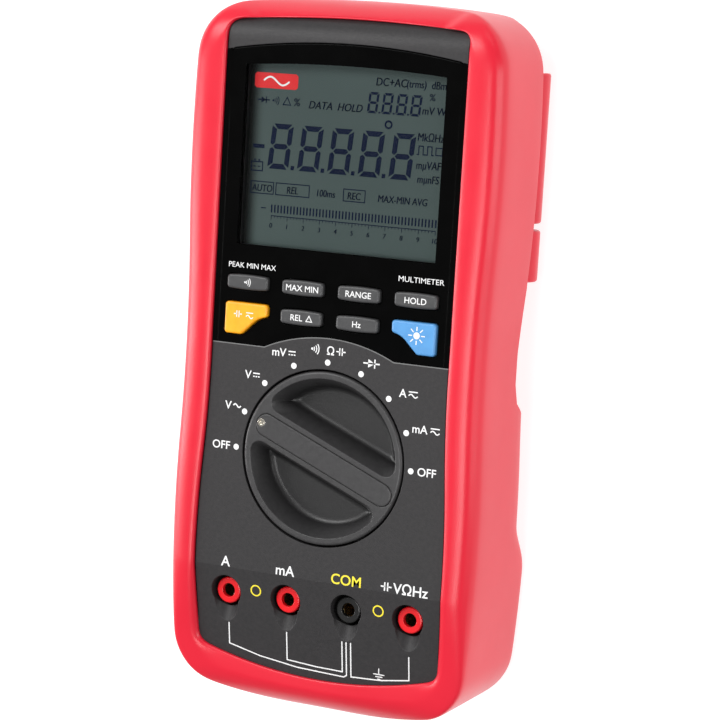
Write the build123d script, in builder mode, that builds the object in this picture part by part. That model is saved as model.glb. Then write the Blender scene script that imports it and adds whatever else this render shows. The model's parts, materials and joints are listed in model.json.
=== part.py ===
from build123d import *
import os
from math import cos, radians, sin, tan

# Handheld digital multimeter lying on its back in a rubber boot, millimetres.
# +Z is out of the face, +Y is towards the display, +X is to the right of a reader.
# Z = 0 is the flat back of the boot.

# ---- Driving dimensions -----------------------------------------------------------------

# Boot (rubber holster)
BOOT_END = 101.0            # half of the boot's length
BOOT_TOP_HALF = 46.6        # half width at the display end
BOOT_CHEST_HALF = 48.0      # half width beside the display
BOOT_WAIST_HALF = 46.8      # half width beside the keys
BOOT_FOOT_HALF = 45.0       # half width where the bottom arc starts
BOOT_TOP_CORNER = 12.0
BOOT_BOTTOM_CORNER = 14.0
BOOT_WALL = 4.5
BOOT_FIT = 0.2              # gap between the boot and the case
LIP_GAP = 0.3               # gap between the boot's lip and the panel
RAIL_Z = 43.0               # crest of the boot's rails
RAIL_ROUND = 6.0
BACK_ROUND = 5.0
BOOT_WINDOW_HALF = 22.0     # window in the boot's back, for the tilt stand
BOOT_WINDOW_LOW_Y = -60.0
BOOT_WINDOW_HIGH_Y = 36.0

# Probe clips on the back edges of the boot
CLIP_X = 40.4
CLIP_Z = 7.0
CLIP_BORE_R = 4.75
CLIP_OUTER_R = 6.6
CLIP_MOUTH = 6.4
CLIP_SEAT_GAP = 0.4         # the seat is this much wider than the clip
CLIP_SEAT_SHIFT = 0.25      # and its axis lies this far outward and back from the clip's
CLIP_SPANS = ((25.5, 40.0), (42.0, 84.0))
CORNER_CUT_Y = -14.0        # the back corners are cut away above this
CORNER_CUT = ((28.5, 3.2), (36.5, 12.8))  # X, Z of the slant that the cut rises along

# Case
BACK_Z = 3.5
SPLIT_Z = 24.4
SHOULDER_Z = 38.0           # step that the boot's lip covers
FACE_Z = 41.0
WALL = 2.5
CREASE_Y = -61.5            # the face slopes down from here to the bottom
FACE_SLOPE = 9.5
TOP_SHOULDER = 8.0          # radius of the case's shoulder above the display
BEVEL_START = (25.0, 3.5)   # X, Z of the bevel on the case's upper back corners
BEVEL_END = (43.6, 24.2)
BEVEL_Y = -22.0

# Panel: the part of the face that shows inside the boot
PANEL_TOP_HALF = 36.4
PANEL_TOP_Y = 93.6
PANEL_TOP_CREST_Y = 95.2
PANEL_FLARE_HALF = 37.5
PANEL_FLARE_Y = -30.0
PANEL_LOW_HALF = 37.3
PANEL_BOTTOM_Y = -84.6
PANEL_BOTTOM_CREST_Y = -90.7

# Display lens
LENS_HALF = 35.3
LENS_TOP_Y = 85.8
LENS_CREST_Y = 88.8
LENS_BOTTOM_Y = 3.0
LENS_BUMP_HALF = 20.0
LENS_BUMP_Y = 7.5
LENS_T = 2.0
LENS_FIT = 0.12

# LCD
VIEW_HALF = 30.5
VIEW_LOW_Y = 31.2
VIEW_SIDE_Y = 81.6
VIEW_CREST_Y = 82.8
GLASS_TOP_Z = 38.0
GLASS_T = 2.2
FRAME_HALF = 34.2
FRAME_LOW_Y = 29.0
FRAME_HIGH_Y = 85.4
FRAME_TOP_Z = 38.9
FRAME_WALL = 1.1

# Keys
KEY_L = 12.8
KEY_H = 4.3
KEY_BOW = 0.3               # how far the long sides of a key bow out
KEY_TOP_Z = 42.2
KEY_GAP = 0.35
KEY_TRAVEL = 1.0
KEY_FLANGE = 0.9
KEY_X = (-25.9, -8.65, 8.65, 25.9)
KEY_ROW_Y = (20.7, 12.4)
CORNER_KEY_IN = 19.2
CORNER_KEY_OUT = 32.5
CORNER_KEY_Y = (5.9, 14.9)

# Selector
KNOB_Y = -26.5
KNOB_R = 24.6
KNOB_TOP_Z = 41.3
WELL_R = 25.2
WELL_FLOOR_Z = 32.0
WELL_FLOOR_T = 1.8
POINTER_ANGLE = 157.5
POINTER_R = 21.0
HUB_R = 5.95
HUB_BORE_R = 6.0
SCOOP_DEPTH = 7.4
SCOOP_R = 22.6
BAR_HALF = 4.8              # half width of the bar between the two finger scoops
INLAY_W = 6.5
ROTOR_R = 19.8
ROTOR_Z = (27.2, 29.8)
DETENT_PITCH = 22.5
DETENT_R = 19.6
DETENT_BALL_R = 1.1
DETENT_RING_R = 21.0
DETENT_POCKET_R = 17.0
DETENT_POCKET_L = 6.0
DETENT_SPRING_START = 14.2
DETENT_SPRING_PITCH = 0.8
SCOOP_TAPER = 24.0
INLAY_L = 46.0
INLAY_RISE = 0.25           # how far the inlay stands proud of the bar
POINTER_PIN_R = 1.15

# Input sockets: 19.05 mm apart, for 4 mm plugs
JACK_PITCH = 19.05
JACK_Y = -68.9
JACK_X = (-1.5 * JACK_PITCH, -0.5 * JACK_PITCH, 0.5 * JACK_PITCH, 1.5 * JACK_PITCH)
JACK_BLACK = 2              # index of the common socket
PLUG_R = 2.0
SLEEVE_R = 2.7
RING_R = 3.8
SHROUD_R = 4.75
SHROUD_WALL = 1.5
JACK_BASE_Z = 16.0
RING_DROP = 1.6             # how far the rings sit below the face

RELIEF_R = 3.9              # the moulded groove that runs out below each socket
RELIEF_DROP = 1.05
RELIEF_RISE = 0.42

# Circuit board
BOARD_Z = 25.0
BOARD_T = 1.6
BOARD_TOP = BOARD_Z + BOARD_T

# Battery and fuses
BATTERY_W = 26.5
BATTERY_L = 48.5
BATTERY_T = 17.5
BATTERY_END_Y = -9.5
BATTERY_Z = 6.2
DOOR_HALF = 13.7
DOOR_LOW_Y = -58.0
DOOR_HIGH_Y = 2.0
BIG_FUSE = (-25.0, 17.6, 5.15, 38.0)     # X, Z, radius, length
SMALL_FUSE = (24.0, 19.0, 3.2, 32.0)
FUSE_MID_Y = -38.0

# Tilt stand
STAND_HALF = 19.0
STAND_ARM = 6.0
STAND_FOOT_Y = -50.0
STAND_AXIS = (30.0, 5.0)    # Y, Z
STAND_BARREL_R = 2.6
STAND_Z = (0.5, 3.1)
STAND_PIN_R = 1.1

# Screws
SCREW_PLACES = ((20.0, 89.3), (36.5, -30.0), (30.0, -86.0))
SCREW_R = 1.4
SCREW_HEAD_R = 2.7
SCREW_HEAD_T = 2.0
BOSS_R = 3.6

# Layout worked out from the dimensions above
FAR = 120.0                 # longer than anything in the model
DIAL_X = Vector(cos(radians(POINTER_ANGLE)), sin(radians(POINTER_ANGLE)), 0)
BAR_KEYS = {
    "key_buzzer": (KEY_X[0], 0),
    "key_max_min": (KEY_X[1], 0),
    "key_range": (KEY_X[2], 0),
    "key_hold": (KEY_X[3], 0),
    "key_relative": (KEY_X[1], 1),
    "key_hertz": (KEY_X[2], 1),
}
CORNER_DOME = (CORNER_KEY_OUT - 4.5, CORNER_KEY_Y[1] - 3.6)
KEY_DOMES = [(x, KEY_ROW_Y[row]) for x, row in BAR_KEYS.values()]
KEY_DOMES += [CORNER_DOME, (-CORNER_DOME[0], CORNER_DOME[1])]
BOARD_SCREWS = ((-35.0, 24.0), (35.0, 24.0), (-36.5, -14.0), (36.5, -14.0))

os.makedirs("parts", exist_ok=True)


def face_z(y):
    """Height of the face at y: flat down to the crease, then sloping to the bottom."""
    return FACE_Z - max(0.0, CREASE_Y - y) * tan(radians(FACE_SLOPE))


def boot_plan(inset):
    """Outline of the boot seen from the front, drawn in by inset."""
    with BuildSketch() as plan:
        with BuildLine():
            chest = ThreePointArc(
                (BOOT_TOP_HALF, BOOT_END - 3.0), (BOOT_CHEST_HALF, 64.0), (BOOT_WAIST_HALF + 0.6, 32.0)
            )
            waist = TangentArc(chest @ 1, (BOOT_WAIST_HALF + 0.5, -24.0), tangent=chest % 1)
            hip = TangentArc(waist @ 1, (BOOT_FOOT_HALF, 6.5 - BOOT_END), tangent=waist % 1)
            mirror(chest, about=Plane.YZ)
            mirror(waist, about=Plane.YZ)
            mirror(hip, about=Plane.YZ)
            ThreePointArc(chest @ 0, (0, BOOT_END), (-BOOT_TOP_HALF, BOOT_END - 3.0))
            ThreePointArc(hip @ 1, (0, -BOOT_END), (-BOOT_FOOT_HALF, 6.5 - BOOT_END))
        make_face()
        fillet(plan.vertices().group_by(Axis.Y)[-1], BOOT_TOP_CORNER)
        fillet(plan.vertices().group_by(Axis.Y)[0], BOOT_BOTTOM_CORNER)
        if inset != 0:
            offset(amount=-inset)
    return plan.sketch


def panel_plan(grow):
    """Outline of the panel that shows inside the boot, grown by grow."""
    top_half = PANEL_TOP_HALF + grow
    low_half = PANEL_LOW_HALF + grow
    top_y = PANEL_TOP_Y + grow
    low_y = PANEL_BOTTOM_Y - grow
    with BuildSketch() as plan:
        with BuildLine():
            upper = Line((top_half, top_y), (top_half, 0))
            flare = TangentArc(
                upper @ 1, (PANEL_FLARE_HALF + grow, PANEL_FLARE_Y), tangent=(0, -1)
            )
            lower = TangentArc(flare @ 1, (low_half, low_y), tangent=flare % 1)
            mirror(upper, about=Plane.YZ)
            mirror(flare, about=Plane.YZ)
            mirror(lower, about=Plane.YZ)
            ThreePointArc(upper @ 0, (0, PANEL_TOP_CREST_Y + grow), (-top_half, top_y))
            ThreePointArc(lower @ 1, (0, PANEL_BOTTOM_CREST_Y - grow), (-low_half, low_y))
        make_face()
        fillet(plan.vertices().group_by(Axis.Y)[-1], 2.5)
        fillet(plan.vertices().group_by(Axis.Y)[0], 2.0)
    return plan.sketch


def lens_plan(grow):
    """Outline of the display lens: arched top, and an arch over the selector legends."""
    with BuildSketch() as plan:
        with BuildLine():
            Polyline(
                (LENS_BUMP_HALF, LENS_BOTTOM_Y),
                (LENS_HALF, LENS_BOTTOM_Y),
                (LENS_HALF, LENS_TOP_Y),
            )
            Polyline(
                (-LENS_BUMP_HALF, LENS_BOTTOM_Y),
                (-LENS_HALF, LENS_BOTTOM_Y),
                (-LENS_HALF, LENS_TOP_Y),
            )
            ThreePointArc(
                (-LENS_HALF, LENS_TOP_Y), (0, LENS_CREST_Y), (LENS_HALF, LENS_TOP_Y)
            )
            ThreePointArc(
                (-LENS_BUMP_HALF, LENS_BOTTOM_Y),
                (0, LENS_BUMP_Y),
                (LENS_BUMP_HALF, LENS_BOTTOM_Y),
            )
        make_face()
        fillet(plan.vertices().group_by(Axis.Y)[-1], 1.5)
        if grow != 0:
            offset(amount=grow)
    return plan.sketch


def view_plan(grow):
    """Outline of the LCD's window, with its arched top."""
    with BuildSketch() as plan:
        with BuildLine():
            Polyline(
                (-VIEW_HALF, VIEW_SIDE_Y),
                (-VIEW_HALF, VIEW_LOW_Y),
                (VIEW_HALF, VIEW_LOW_Y),
                (VIEW_HALF, VIEW_SIDE_Y),
            )
            ThreePointArc((-VIEW_HALF, VIEW_SIDE_Y), (0, VIEW_CREST_Y), (VIEW_HALF, VIEW_SIDE_Y))
        make_face()
        if grow != 0:
            offset(amount=grow)
    return plan.sketch


def bar_key_plan(grow):
    """Outline of a grey key: a bar whose long sides bow out a little."""
    half_l = KEY_L / 2
    half_h = KEY_H / 2
    with BuildSketch() as plan:
        with BuildLine():
            Line((-half_l, -half_h + KEY_BOW), (-half_l, half_h - KEY_BOW))
            Line((half_l, -half_h + KEY_BOW), (half_l, half_h - KEY_BOW))
            ThreePointArc((-half_l, half_h - KEY_BOW), (0, half_h), (half_l, half_h - KEY_BOW))
            ThreePointArc((-half_l, KEY_BOW - half_h), (0, -half_h), (half_l, KEY_BOW - half_h))
        make_face()
        fillet(plan.vertices(), 0.9)
        if grow != 0:
            offset(amount=grow)
    return plan.sketch


def corner_key_plan(grow):
    """Outline of the right-hand corner key: wide at the top, narrow at its outer bottom."""
    low, high = CORNER_KEY_Y
    with BuildSketch() as plan:
        with BuildLine():
            Polyline(
                (CORNER_KEY_IN, low + 5.5),
                (CORNER_KEY_IN, high),
                (CORNER_KEY_OUT, high),
                (CORNER_KEY_OUT, low),
                (CORNER_KEY_OUT - 5.4, low),
            )
            neck = TangentArc(
                (CORNER_KEY_IN, low + 5.5), (CORNER_KEY_IN + 4.6, low + 3.3), tangent=(1, -0.1)
            )
            TangentArc(neck @ 1, (CORNER_KEY_OUT - 5.4, low), tangent=neck % 1)
        make_face()
        fillet(plan.vertices(), 1.0)
        if grow != 0:
            offset(amount=grow)
    return plan.sketch


def key_plans(grow):
    """Outlines of all eight keys, grown by grow."""
    with BuildSketch() as plans:
        for x, row in BAR_KEYS.values():
            with Locations((x, KEY_ROW_Y[row])):
                add(bar_key_plan(grow))
        add(corner_key_plan(grow))
        add(mirror(corner_key_plan(grow), about=Plane.YZ))
    return plans.sketch


def boot_profile():
    """Side view of the boot, as Y across and Z up."""
    toe_y = 9.0 - BOOT_END
    toe_z = RAIL_Z - (CREASE_Y - toe_y) * tan(radians(FACE_SLOPE))
    end = BOOT_END
    with BuildSketch() as profile:
        with BuildLine():
            Polyline((-end, 28.0), (-end, 0), (end, 0), (end, 29.0))
            ThreePointArc((end, 29.0), (end - 4.5, 38.6), (end - 15.0, RAIL_Z))
            Polyline((end - 15.0, RAIL_Z), (CREASE_Y, RAIL_Z), (toe_y, toe_z))
            ThreePointArc((toe_y, toe_z), (3.0 - end, toe_z - 3.0), (-end, 28.0))
        make_face()
    return profile.sketch


def case_profile(grow):
    """Side view of the case, as Y across and Z up, grown by grow."""
    end = BOOT_END - BOOT_WALL
    with BuildSketch() as profile:
        with BuildLine():
            Polyline(
                (end, FACE_Z - TOP_SHOULDER),
                (end, BACK_Z),
                (-end, BACK_Z),
                (-end, face_z(-end)),
                (CREASE_Y, FACE_Z),
                (end - TOP_SHOULDER, FACE_Z),
            )
            RadiusArc((end - TOP_SHOULDER, FACE_Z), (end, FACE_Z - TOP_SHOULDER), TOP_SHOULDER)
        make_face()
        if grow != 0:
            offset(amount=grow, kind=Kind.INTERSECTION)
    return profile.sketch


def bevel_section(grow):
    """Section cut off each upper back corner of the case, in X and Z, moved out by grow."""
    run = BEVEL_END[0] - BEVEL_START[0]
    rise = BEVEL_END[1] - BEVEL_START[1]
    length = (run**2 + rise**2) ** 0.5
    shift_x = grow * rise / length
    shift_z = -grow * run / length
    low = (BEVEL_START[0] - run + shift_x, BEVEL_START[1] - rise + shift_z)
    high = (BEVEL_END[0] + run + shift_x, BEVEL_END[1] + rise + shift_z)
    with BuildSketch() as section:
        with BuildLine():
            Polyline(low, high, (FAR, high[1]), (FAR, low[1]), close=True)
        make_face()
        mirror(about=Plane.YZ)
    return section.sketch


def case_envelope(grow):
    """The closed case as one solid: grown for the boot's cavity, shrunk for the inside."""
    with BuildPart() as envelope:
        with BuildSketch(Plane.XY.offset(BACK_Z - grow)):
            add(boot_plan(BOOT_WALL - grow))
        extrude(amount=SHOULDER_Z - BACK_Z + 2 * grow)
        with BuildSketch(Plane.XY.offset(SPLIT_Z)):
            add(panel_plan(grow))
        extrude(amount=FACE_Z + grow - SPLIT_Z)
        with BuildSketch(Plane.YZ):
            add(case_profile(grow))
        extrude(amount=FAR, both=True, mode=Mode.INTERSECT)
        with BuildSketch(Plane.XZ.offset(-(BEVEL_Y + grow))):
            add(bevel_section(grow))
        extrude(amount=-FAR - BOOT_END, mode=Mode.SUBTRACT)
    return envelope.part


def both_sides(places):
    """The places and their mirror images in the YZ plane."""
    return [(x * side, y) for x, y in places for side in (1, -1)]


def save(builder, name):
    """Label a finished piece and write its STEP file."""
    builder.part.label = name
    export_step(builder.part, f"parts/{name}.step")


CASE = case_envelope(0.0)
CASE_INSIDE = case_envelope(-WALL)
KNOB_CENTRE = (0, KNOB_Y)
JACK_PLACES = [(x, JACK_Y) for x in JACK_X]
SCREWS = both_sides(SCREW_PLACES)

# ---- Boot -------------------------------------------------------------------------------

with BuildPart() as holster:
    with BuildSketch():
        add(boot_plan(0.0))
    extrude(amount=RAIL_Z)
    fillet(holster.edges().group_by(Axis.Z)[-1], RAIL_ROUND)
    fillet(holster.edges().group_by(Axis.Z)[0], BACK_ROUND)
    with BuildSketch(Plane.YZ):
        add(boot_profile())
    extrude(amount=FAR, both=True, mode=Mode.INTERSECT)
    # The back corners are cut away over the upper part, where the probe clips stand
    with BuildSketch(Plane.XZ.offset(-CORNER_CUT_Y)):
        with BuildLine():
            Polyline(
                (CORNER_CUT[0][0], -1.0),
                *CORNER_CUT,
                (FAR, CORNER_CUT[1][1]),
                (FAR, -1.0),
                close=True,
            )
        make_face()
        mirror(about=Plane.YZ)
    extrude(amount=-FAR, mode=Mode.SUBTRACT)
    with BuildSketch(Plane.XZ.offset(-CORNER_CUT_Y)):
        with Locations(*both_sides([(CLIP_X + CLIP_SEAT_SHIFT, CLIP_Z - CLIP_SEAT_SHIFT)])):
            Circle(CLIP_OUTER_R + CLIP_SEAT_GAP)
    extrude(amount=-FAR, mode=Mode.SUBTRACT)
    # The cavity for the case, the window over the face and the window in the back
    add(case_envelope(BOOT_FIT), mode=Mode.SUBTRACT)
    with BuildSketch(Plane.XY.offset(SHOULDER_Z - 1.0)):
        add(panel_plan(LIP_GAP))
    extrude(amount=FAR, mode=Mode.SUBTRACT)
    with BuildSketch():
        with Locations((0, (BOOT_WINDOW_LOW_Y + BOOT_WINDOW_HIGH_Y) / 2)):
            RectangleRounded(
                2 * BOOT_WINDOW_HALF, BOOT_WINDOW_HIGH_Y - BOOT_WINDOW_LOW_Y, 5.0
            )
    extrude(amount=BACK_Z + 1.0, mode=Mode.SUBTRACT)
save(holster, "holster")

with BuildPart() as probe_clips:
    for low_y, high_y in CLIP_SPANS:
        with BuildSketch(Plane.XZ.offset(-low_y)):
            with Locations((CLIP_X, CLIP_Z), (-CLIP_X, CLIP_Z)):
                Circle(CLIP_OUTER_R)
                Circle(CLIP_BORE_R, mode=Mode.SUBTRACT)
                Rectangle(
                    CLIP_MOUTH, FAR, align=(Align.CENTER, Align.MAX), mode=Mode.SUBTRACT
                )
        extrude(amount=low_y - high_y)
save(probe_clips, "probe_clips")

# ---- Case shells ------------------------------------------------------------------------

with BuildPart() as rear_case:
    add(CASE)
    add(CASE_INSIDE, mode=Mode.SUBTRACT)
    # Bosses for the case screws, the battery walls, the door screw boss and the hinge block
    with BuildSketch(Plane.XY.offset(BACK_Z + 1.0)):
        with Locations(*SCREWS):
            Circle(BOSS_R)
        with Locations((0, DOOR_HIGH_Y - 3.5)):
            Circle(3.0)
        with Locations((0, (DOOR_LOW_Y + BATTERY_END_Y) / 2)):
            Rectangle(BATTERY_W + 4.0, BATTERY_END_Y - DOOR_LOW_Y + 2.0)
            Rectangle(BATTERY_W + 1.0, FAR, mode=Mode.SUBTRACT)
    extrude(amount=SPLIT_Z - BACK_Z - 3.0)
    with BuildSketch(Plane.XY.offset(BACK_Z + 1.0)):
        with Locations((0, STAND_AXIS[0])):
            Rectangle(2 * (STAND_HALF + 5.0), 12.0)
    extrude(amount=5.2)
    split(bisect_by=Plane.XY.offset(SPLIT_Z), keep=Keep.BOTTOM)
    with BuildSketch(Plane.XY):
        with Locations((0, STAND_AXIS[0] - 0.1)):
            Rectangle(2 * (STAND_HALF + 0.5), 7.0)
    extrude(amount=STAND_AXIS[1] + STAND_BARREL_R + 0.6, mode=Mode.SUBTRACT)
    with BuildSketch(Plane.YZ):
        with Locations(STAND_AXIS):
            Circle(STAND_PIN_R)
    extrude(amount=STAND_HALF + 3.5, both=True, mode=Mode.SUBTRACT)
    # Battery opening with its door, and the holes and counterbores for the screws
    with BuildSketch():
        with Locations((0, (DOOR_LOW_Y + DOOR_HIGH_Y) / 2)):
            Rectangle(2 * DOOR_HALF + 0.4, DOOR_HIGH_Y - DOOR_LOW_Y + 0.4)
    extrude(amount=BACK_Z + WALL, mode=Mode.SUBTRACT)
    with BuildSketch():
        with Locations((0, DOOR_HIGH_Y - 3.5)):
            Circle(SCREW_R)
    extrude(amount=14.0, mode=Mode.SUBTRACT)
    with BuildSketch():
        with Locations(*SCREWS):
            Circle(SCREW_R + 0.15)
    extrude(amount=FAR, mode=Mode.SUBTRACT)
    with BuildSketch():
        with Locations(*SCREWS):
            Circle(SCREW_HEAD_R + 0.3)
    extrude(amount=BACK_Z + SCREW_HEAD_T + 2.0, mode=Mode.SUBTRACT)
    with BuildSketch():
        with Locations((0, 72.0)):
            Rectangle(12.0, 6.0)
    extrude(amount=BACK_Z + WALL, mode=Mode.SUBTRACT)
    with BuildSketch(Plane.XY.offset(SPLIT_Z - 0.6)):
        add(boot_plan(BOOT_WALL + 0.8))
        add(boot_plan(BOOT_WALL + 1.7), mode=Mode.SUBTRACT)
    extrude(amount=2.0, mode=Mode.SUBTRACT)
save(rear_case, "rear_case")

with BuildPart() as front_hollow:
    # The inside of the front shell, less its well, shrouds, bosses and lens deck
    add(CASE_INSIDE)
    with BuildSketch(Plane.XY.offset(WELL_FLOOR_Z - WELL_FLOOR_T)):
        with Locations(KNOB_CENTRE):
            Circle(WELL_R + 2.0)
    extrude(amount=FACE_Z, mode=Mode.SUBTRACT)
    with BuildSketch():
        with Locations(*JACK_PLACES):
            Circle(SHROUD_R + SHROUD_WALL)
        with Locations(*SCREWS):
            Circle(BOSS_R - 0.2)
    extrude(amount=FACE_Z, mode=Mode.SUBTRACT)
    with BuildSketch(Plane.XY.offset(FACE_Z - LENS_T - WALL)):
        add(lens_plan(0.9))
    extrude(amount=FACE_Z, mode=Mode.SUBTRACT)

with BuildPart() as front_case:
    add(CASE)
    add(front_hollow.part, mode=Mode.SUBTRACT)
    split(bisect_by=Plane.XY.offset(SPLIT_Z), keep=Keep.TOP)
    with BuildSketch(Plane.XY.offset(JACK_BASE_Z)):
        with Locations(*JACK_PLACES):
            Circle(SHROUD_R + SHROUD_WALL)
    extrude(amount=SPLIT_Z + 1.0 - JACK_BASE_Z)
    # Well and hub bore
    with BuildSketch(Plane.XY.offset(WELL_FLOOR_Z)):
        with Locations(KNOB_CENTRE):
            Circle(WELL_R)
    extrude(amount=FACE_Z, mode=Mode.SUBTRACT)
    with BuildSketch():
        with Locations(KNOB_CENTRE):
            Circle(HUB_BORE_R)
    extrude(amount=FACE_Z, mode=Mode.SUBTRACT)
    # Socket wells, each with a moulded relief that runs out downhill
    with BuildSketch():
        with Locations(*JACK_PLACES):
            Circle(SHROUD_R)
    extrude(amount=FACE_Z, mode=Mode.SUBTRACT)
    for x in JACK_X:
        with BuildSketch(
            Plane(origin=(x, JACK_Y, face_z(JACK_Y) - RELIEF_DROP), z_dir=(0, -1.0, RELIEF_RISE))
        ):
            Circle(RELIEF_R)
        extrude(amount=FAR / 4, mode=Mode.SUBTRACT)
    # Seat for the lens, opening for the display frame and openings for the keys
    with BuildSketch(Plane.XY.offset(FACE_Z - LENS_T)):
        add(lens_plan(LENS_FIT))
    extrude(amount=FACE_Z, mode=Mode.SUBTRACT)
    with BuildSketch(Plane.XY.offset(SPLIT_Z)):
        with Locations((0, (FRAME_LOW_Y + FRAME_HIGH_Y) / 2)):
            Rectangle(2 * FRAME_HALF + 0.4, FRAME_HIGH_Y - FRAME_LOW_Y + 0.4)
        add(key_plans(KEY_GAP))
    extrude(amount=FACE_Z, mode=Mode.SUBTRACT)
    # Pilot holes for the case screws and the groove for the gasket
    with BuildSketch():
        with Locations(*SCREWS):
            Circle(SCREW_R)
    extrude(amount=SPLIT_Z + 8.0, mode=Mode.SUBTRACT)
    with BuildSketch(Plane.XY.offset(SPLIT_Z - 1.0)):
        add(boot_plan(BOOT_WALL + 0.8))
        add(boot_plan(BOOT_WALL + 1.7), mode=Mode.SUBTRACT)
    extrude(amount=1.6, mode=Mode.SUBTRACT)
save(front_case, "front_case")

with BuildPart() as case_gasket:
    with BuildSketch(Plane.XY.offset(SPLIT_Z - 0.6)):
        add(boot_plan(BOOT_WALL + 0.8))
        add(boot_plan(BOOT_WALL + 1.7), mode=Mode.SUBTRACT)
    extrude(amount=1.2)
save(case_gasket, "case_gasket")

with BuildPart() as case_screws:
    with BuildSketch(Plane.XY.offset(BACK_Z + 2.0)):
        with Locations(*SCREWS):
            Circle(SCREW_HEAD_R)
    extrude(amount=SCREW_HEAD_T)
    with BuildSketch(Plane.XY.offset(BACK_Z + 2.0 + SCREW_HEAD_T)):
        with Locations(*SCREWS):
            Circle(SCREW_R)
    extrude(amount=SPLIT_Z + 7.0 - BACK_Z - 2.0 - SCREW_HEAD_T)
    with BuildSketch(Plane.XY.offset(BACK_Z + 2.0)):
        for x, y in SCREWS:
            with Locations((x, y)):
                Rectangle(3.2, 0.7)
                Rectangle(0.7, 3.2)
    extrude(amount=1.0, mode=Mode.SUBTRACT)
save(case_screws, "case_screws")

# ---- Display ----------------------------------------------------------------------------

with BuildPart() as display_lens:
    with BuildSketch(Plane.XY.offset(FACE_Z - LENS_T)):
        add(lens_plan(0.0))
        add(key_plans(KEY_GAP), mode=Mode.SUBTRACT)
    extrude(amount=LENS_T)
    chamfer(display_lens.faces().sort_by(Axis.Z)[-1].outer_wire().edges(), 0.3)
save(display_lens, "display_lens")

with BuildPart() as lcd_frame:
    frame_mid_y = (FRAME_LOW_Y + FRAME_HIGH_Y) / 2
    frame_l = FRAME_HIGH_Y - FRAME_LOW_Y
    with BuildSketch(Plane.XY.offset(BOARD_TOP)):
        with Locations((0, frame_mid_y)):
            Rectangle(2 * FRAME_HALF, frame_l)
    extrude(amount=FRAME_TOP_Z - BOARD_TOP)
    with BuildSketch(Plane.XY.offset(BOARD_TOP)):
        with Locations((0, frame_mid_y)):
            Rectangle(2 * (FRAME_HALF - FRAME_WALL), frame_l - 2 * FRAME_WALL)
    extrude(amount=GLASS_TOP_Z - BOARD_TOP, mode=Mode.SUBTRACT)
    with BuildSketch(Plane.XY.offset(BOARD_TOP)):
        add(view_plan(0.0))
    extrude(amount=FACE_Z, mode=Mode.SUBTRACT)
save(lcd_frame, "lcd_frame")

glass_z = GLASS_TOP_Z - GLASS_T
glass_l = frame_l - 2 * FRAME_WALL - 0.2
with BuildPart() as lcd_panel:
    with BuildSketch(Plane.XY.offset(glass_z)):
        with Locations((0, frame_mid_y)):
            Rectangle(2 * (FRAME_HALF - FRAME_WALL) - 0.2, glass_l)
    extrude(amount=GLASS_T)
save(lcd_panel, "lcd_panel")

with BuildPart() as backlight_panel:
    with BuildSketch(Plane.XY.offset(glass_z - 3.0)):
        with Locations((0, frame_mid_y)):
            Rectangle(60.0, glass_l - 9.0)
    extrude(amount=3.0)
save(backlight_panel, "backlight_panel")

with BuildPart() as zebra_strips:
    with BuildSketch(Plane.XY.offset(BOARD_TOP)):
        with Locations((0, frame_mid_y)):
            with GridLocations(0, glass_l - 4.0, 1, 2):
                Rectangle(58.0, 2.2)
    extrude(amount=glass_z - BOARD_TOP)
save(zebra_strips, "zebra_strips")

# ---- Keys -------------------------------------------------------------------------------


def key(outline, flange):
    """A key: a cap that stands through the lens, on a wider flange under the deck."""
    flange_top = FACE_Z - LENS_T - WALL - 0.3
    with BuildPart() as made:
        with BuildSketch(Plane.XY.offset(flange_top - 1.6)):
            add(flange)
        extrude(amount=1.6)
        with BuildSketch(Plane.XY.offset(flange_top)):
            add(outline)
        extrude(amount=KEY_TOP_Z - flange_top)
        fillet(made.faces().sort_by(Axis.Z)[-1].edges(), 0.6)
    return made


for name, (x, row) in BAR_KEYS.items():
    place = Location((x, KEY_ROW_Y[row]))
    save(key(place * bar_key_plan(0.0), place * bar_key_plan(KEY_FLANGE)), name)

save(key(corner_key_plan(0.0), corner_key_plan(KEY_FLANGE)), "key_backlight")
save(
    key(
        mirror(corner_key_plan(0.0), about=Plane.YZ),
        mirror(corner_key_plan(KEY_FLANGE), about=Plane.YZ),
    ),
    "key_select",
)

with BuildPart() as keypad_mat:
    with BuildSketch(Plane.XY.offset(BOARD_TOP)):
        with Locations((0, 16.5)):
            RectangleRounded(68.0, 18.0, 2.0)
    extrude(amount=1.4)
    with BuildSketch(Plane.XY.offset(BOARD_TOP + 1.4)):
        with Locations(*KEY_DOMES):
            Circle(2.8)
    extrude(amount=FACE_Z - LENS_T - WALL - 1.9 - KEY_TRAVEL - 0.4 - BOARD_TOP - 1.4, taper=12)
save(keypad_mat, "keypad_mat")

# ---- Selector ---------------------------------------------------------------------------

POINTER = Plane(origin=(0, KNOB_Y, 0), x_dir=DIAL_X, z_dir=(0, 0, 1))

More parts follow.
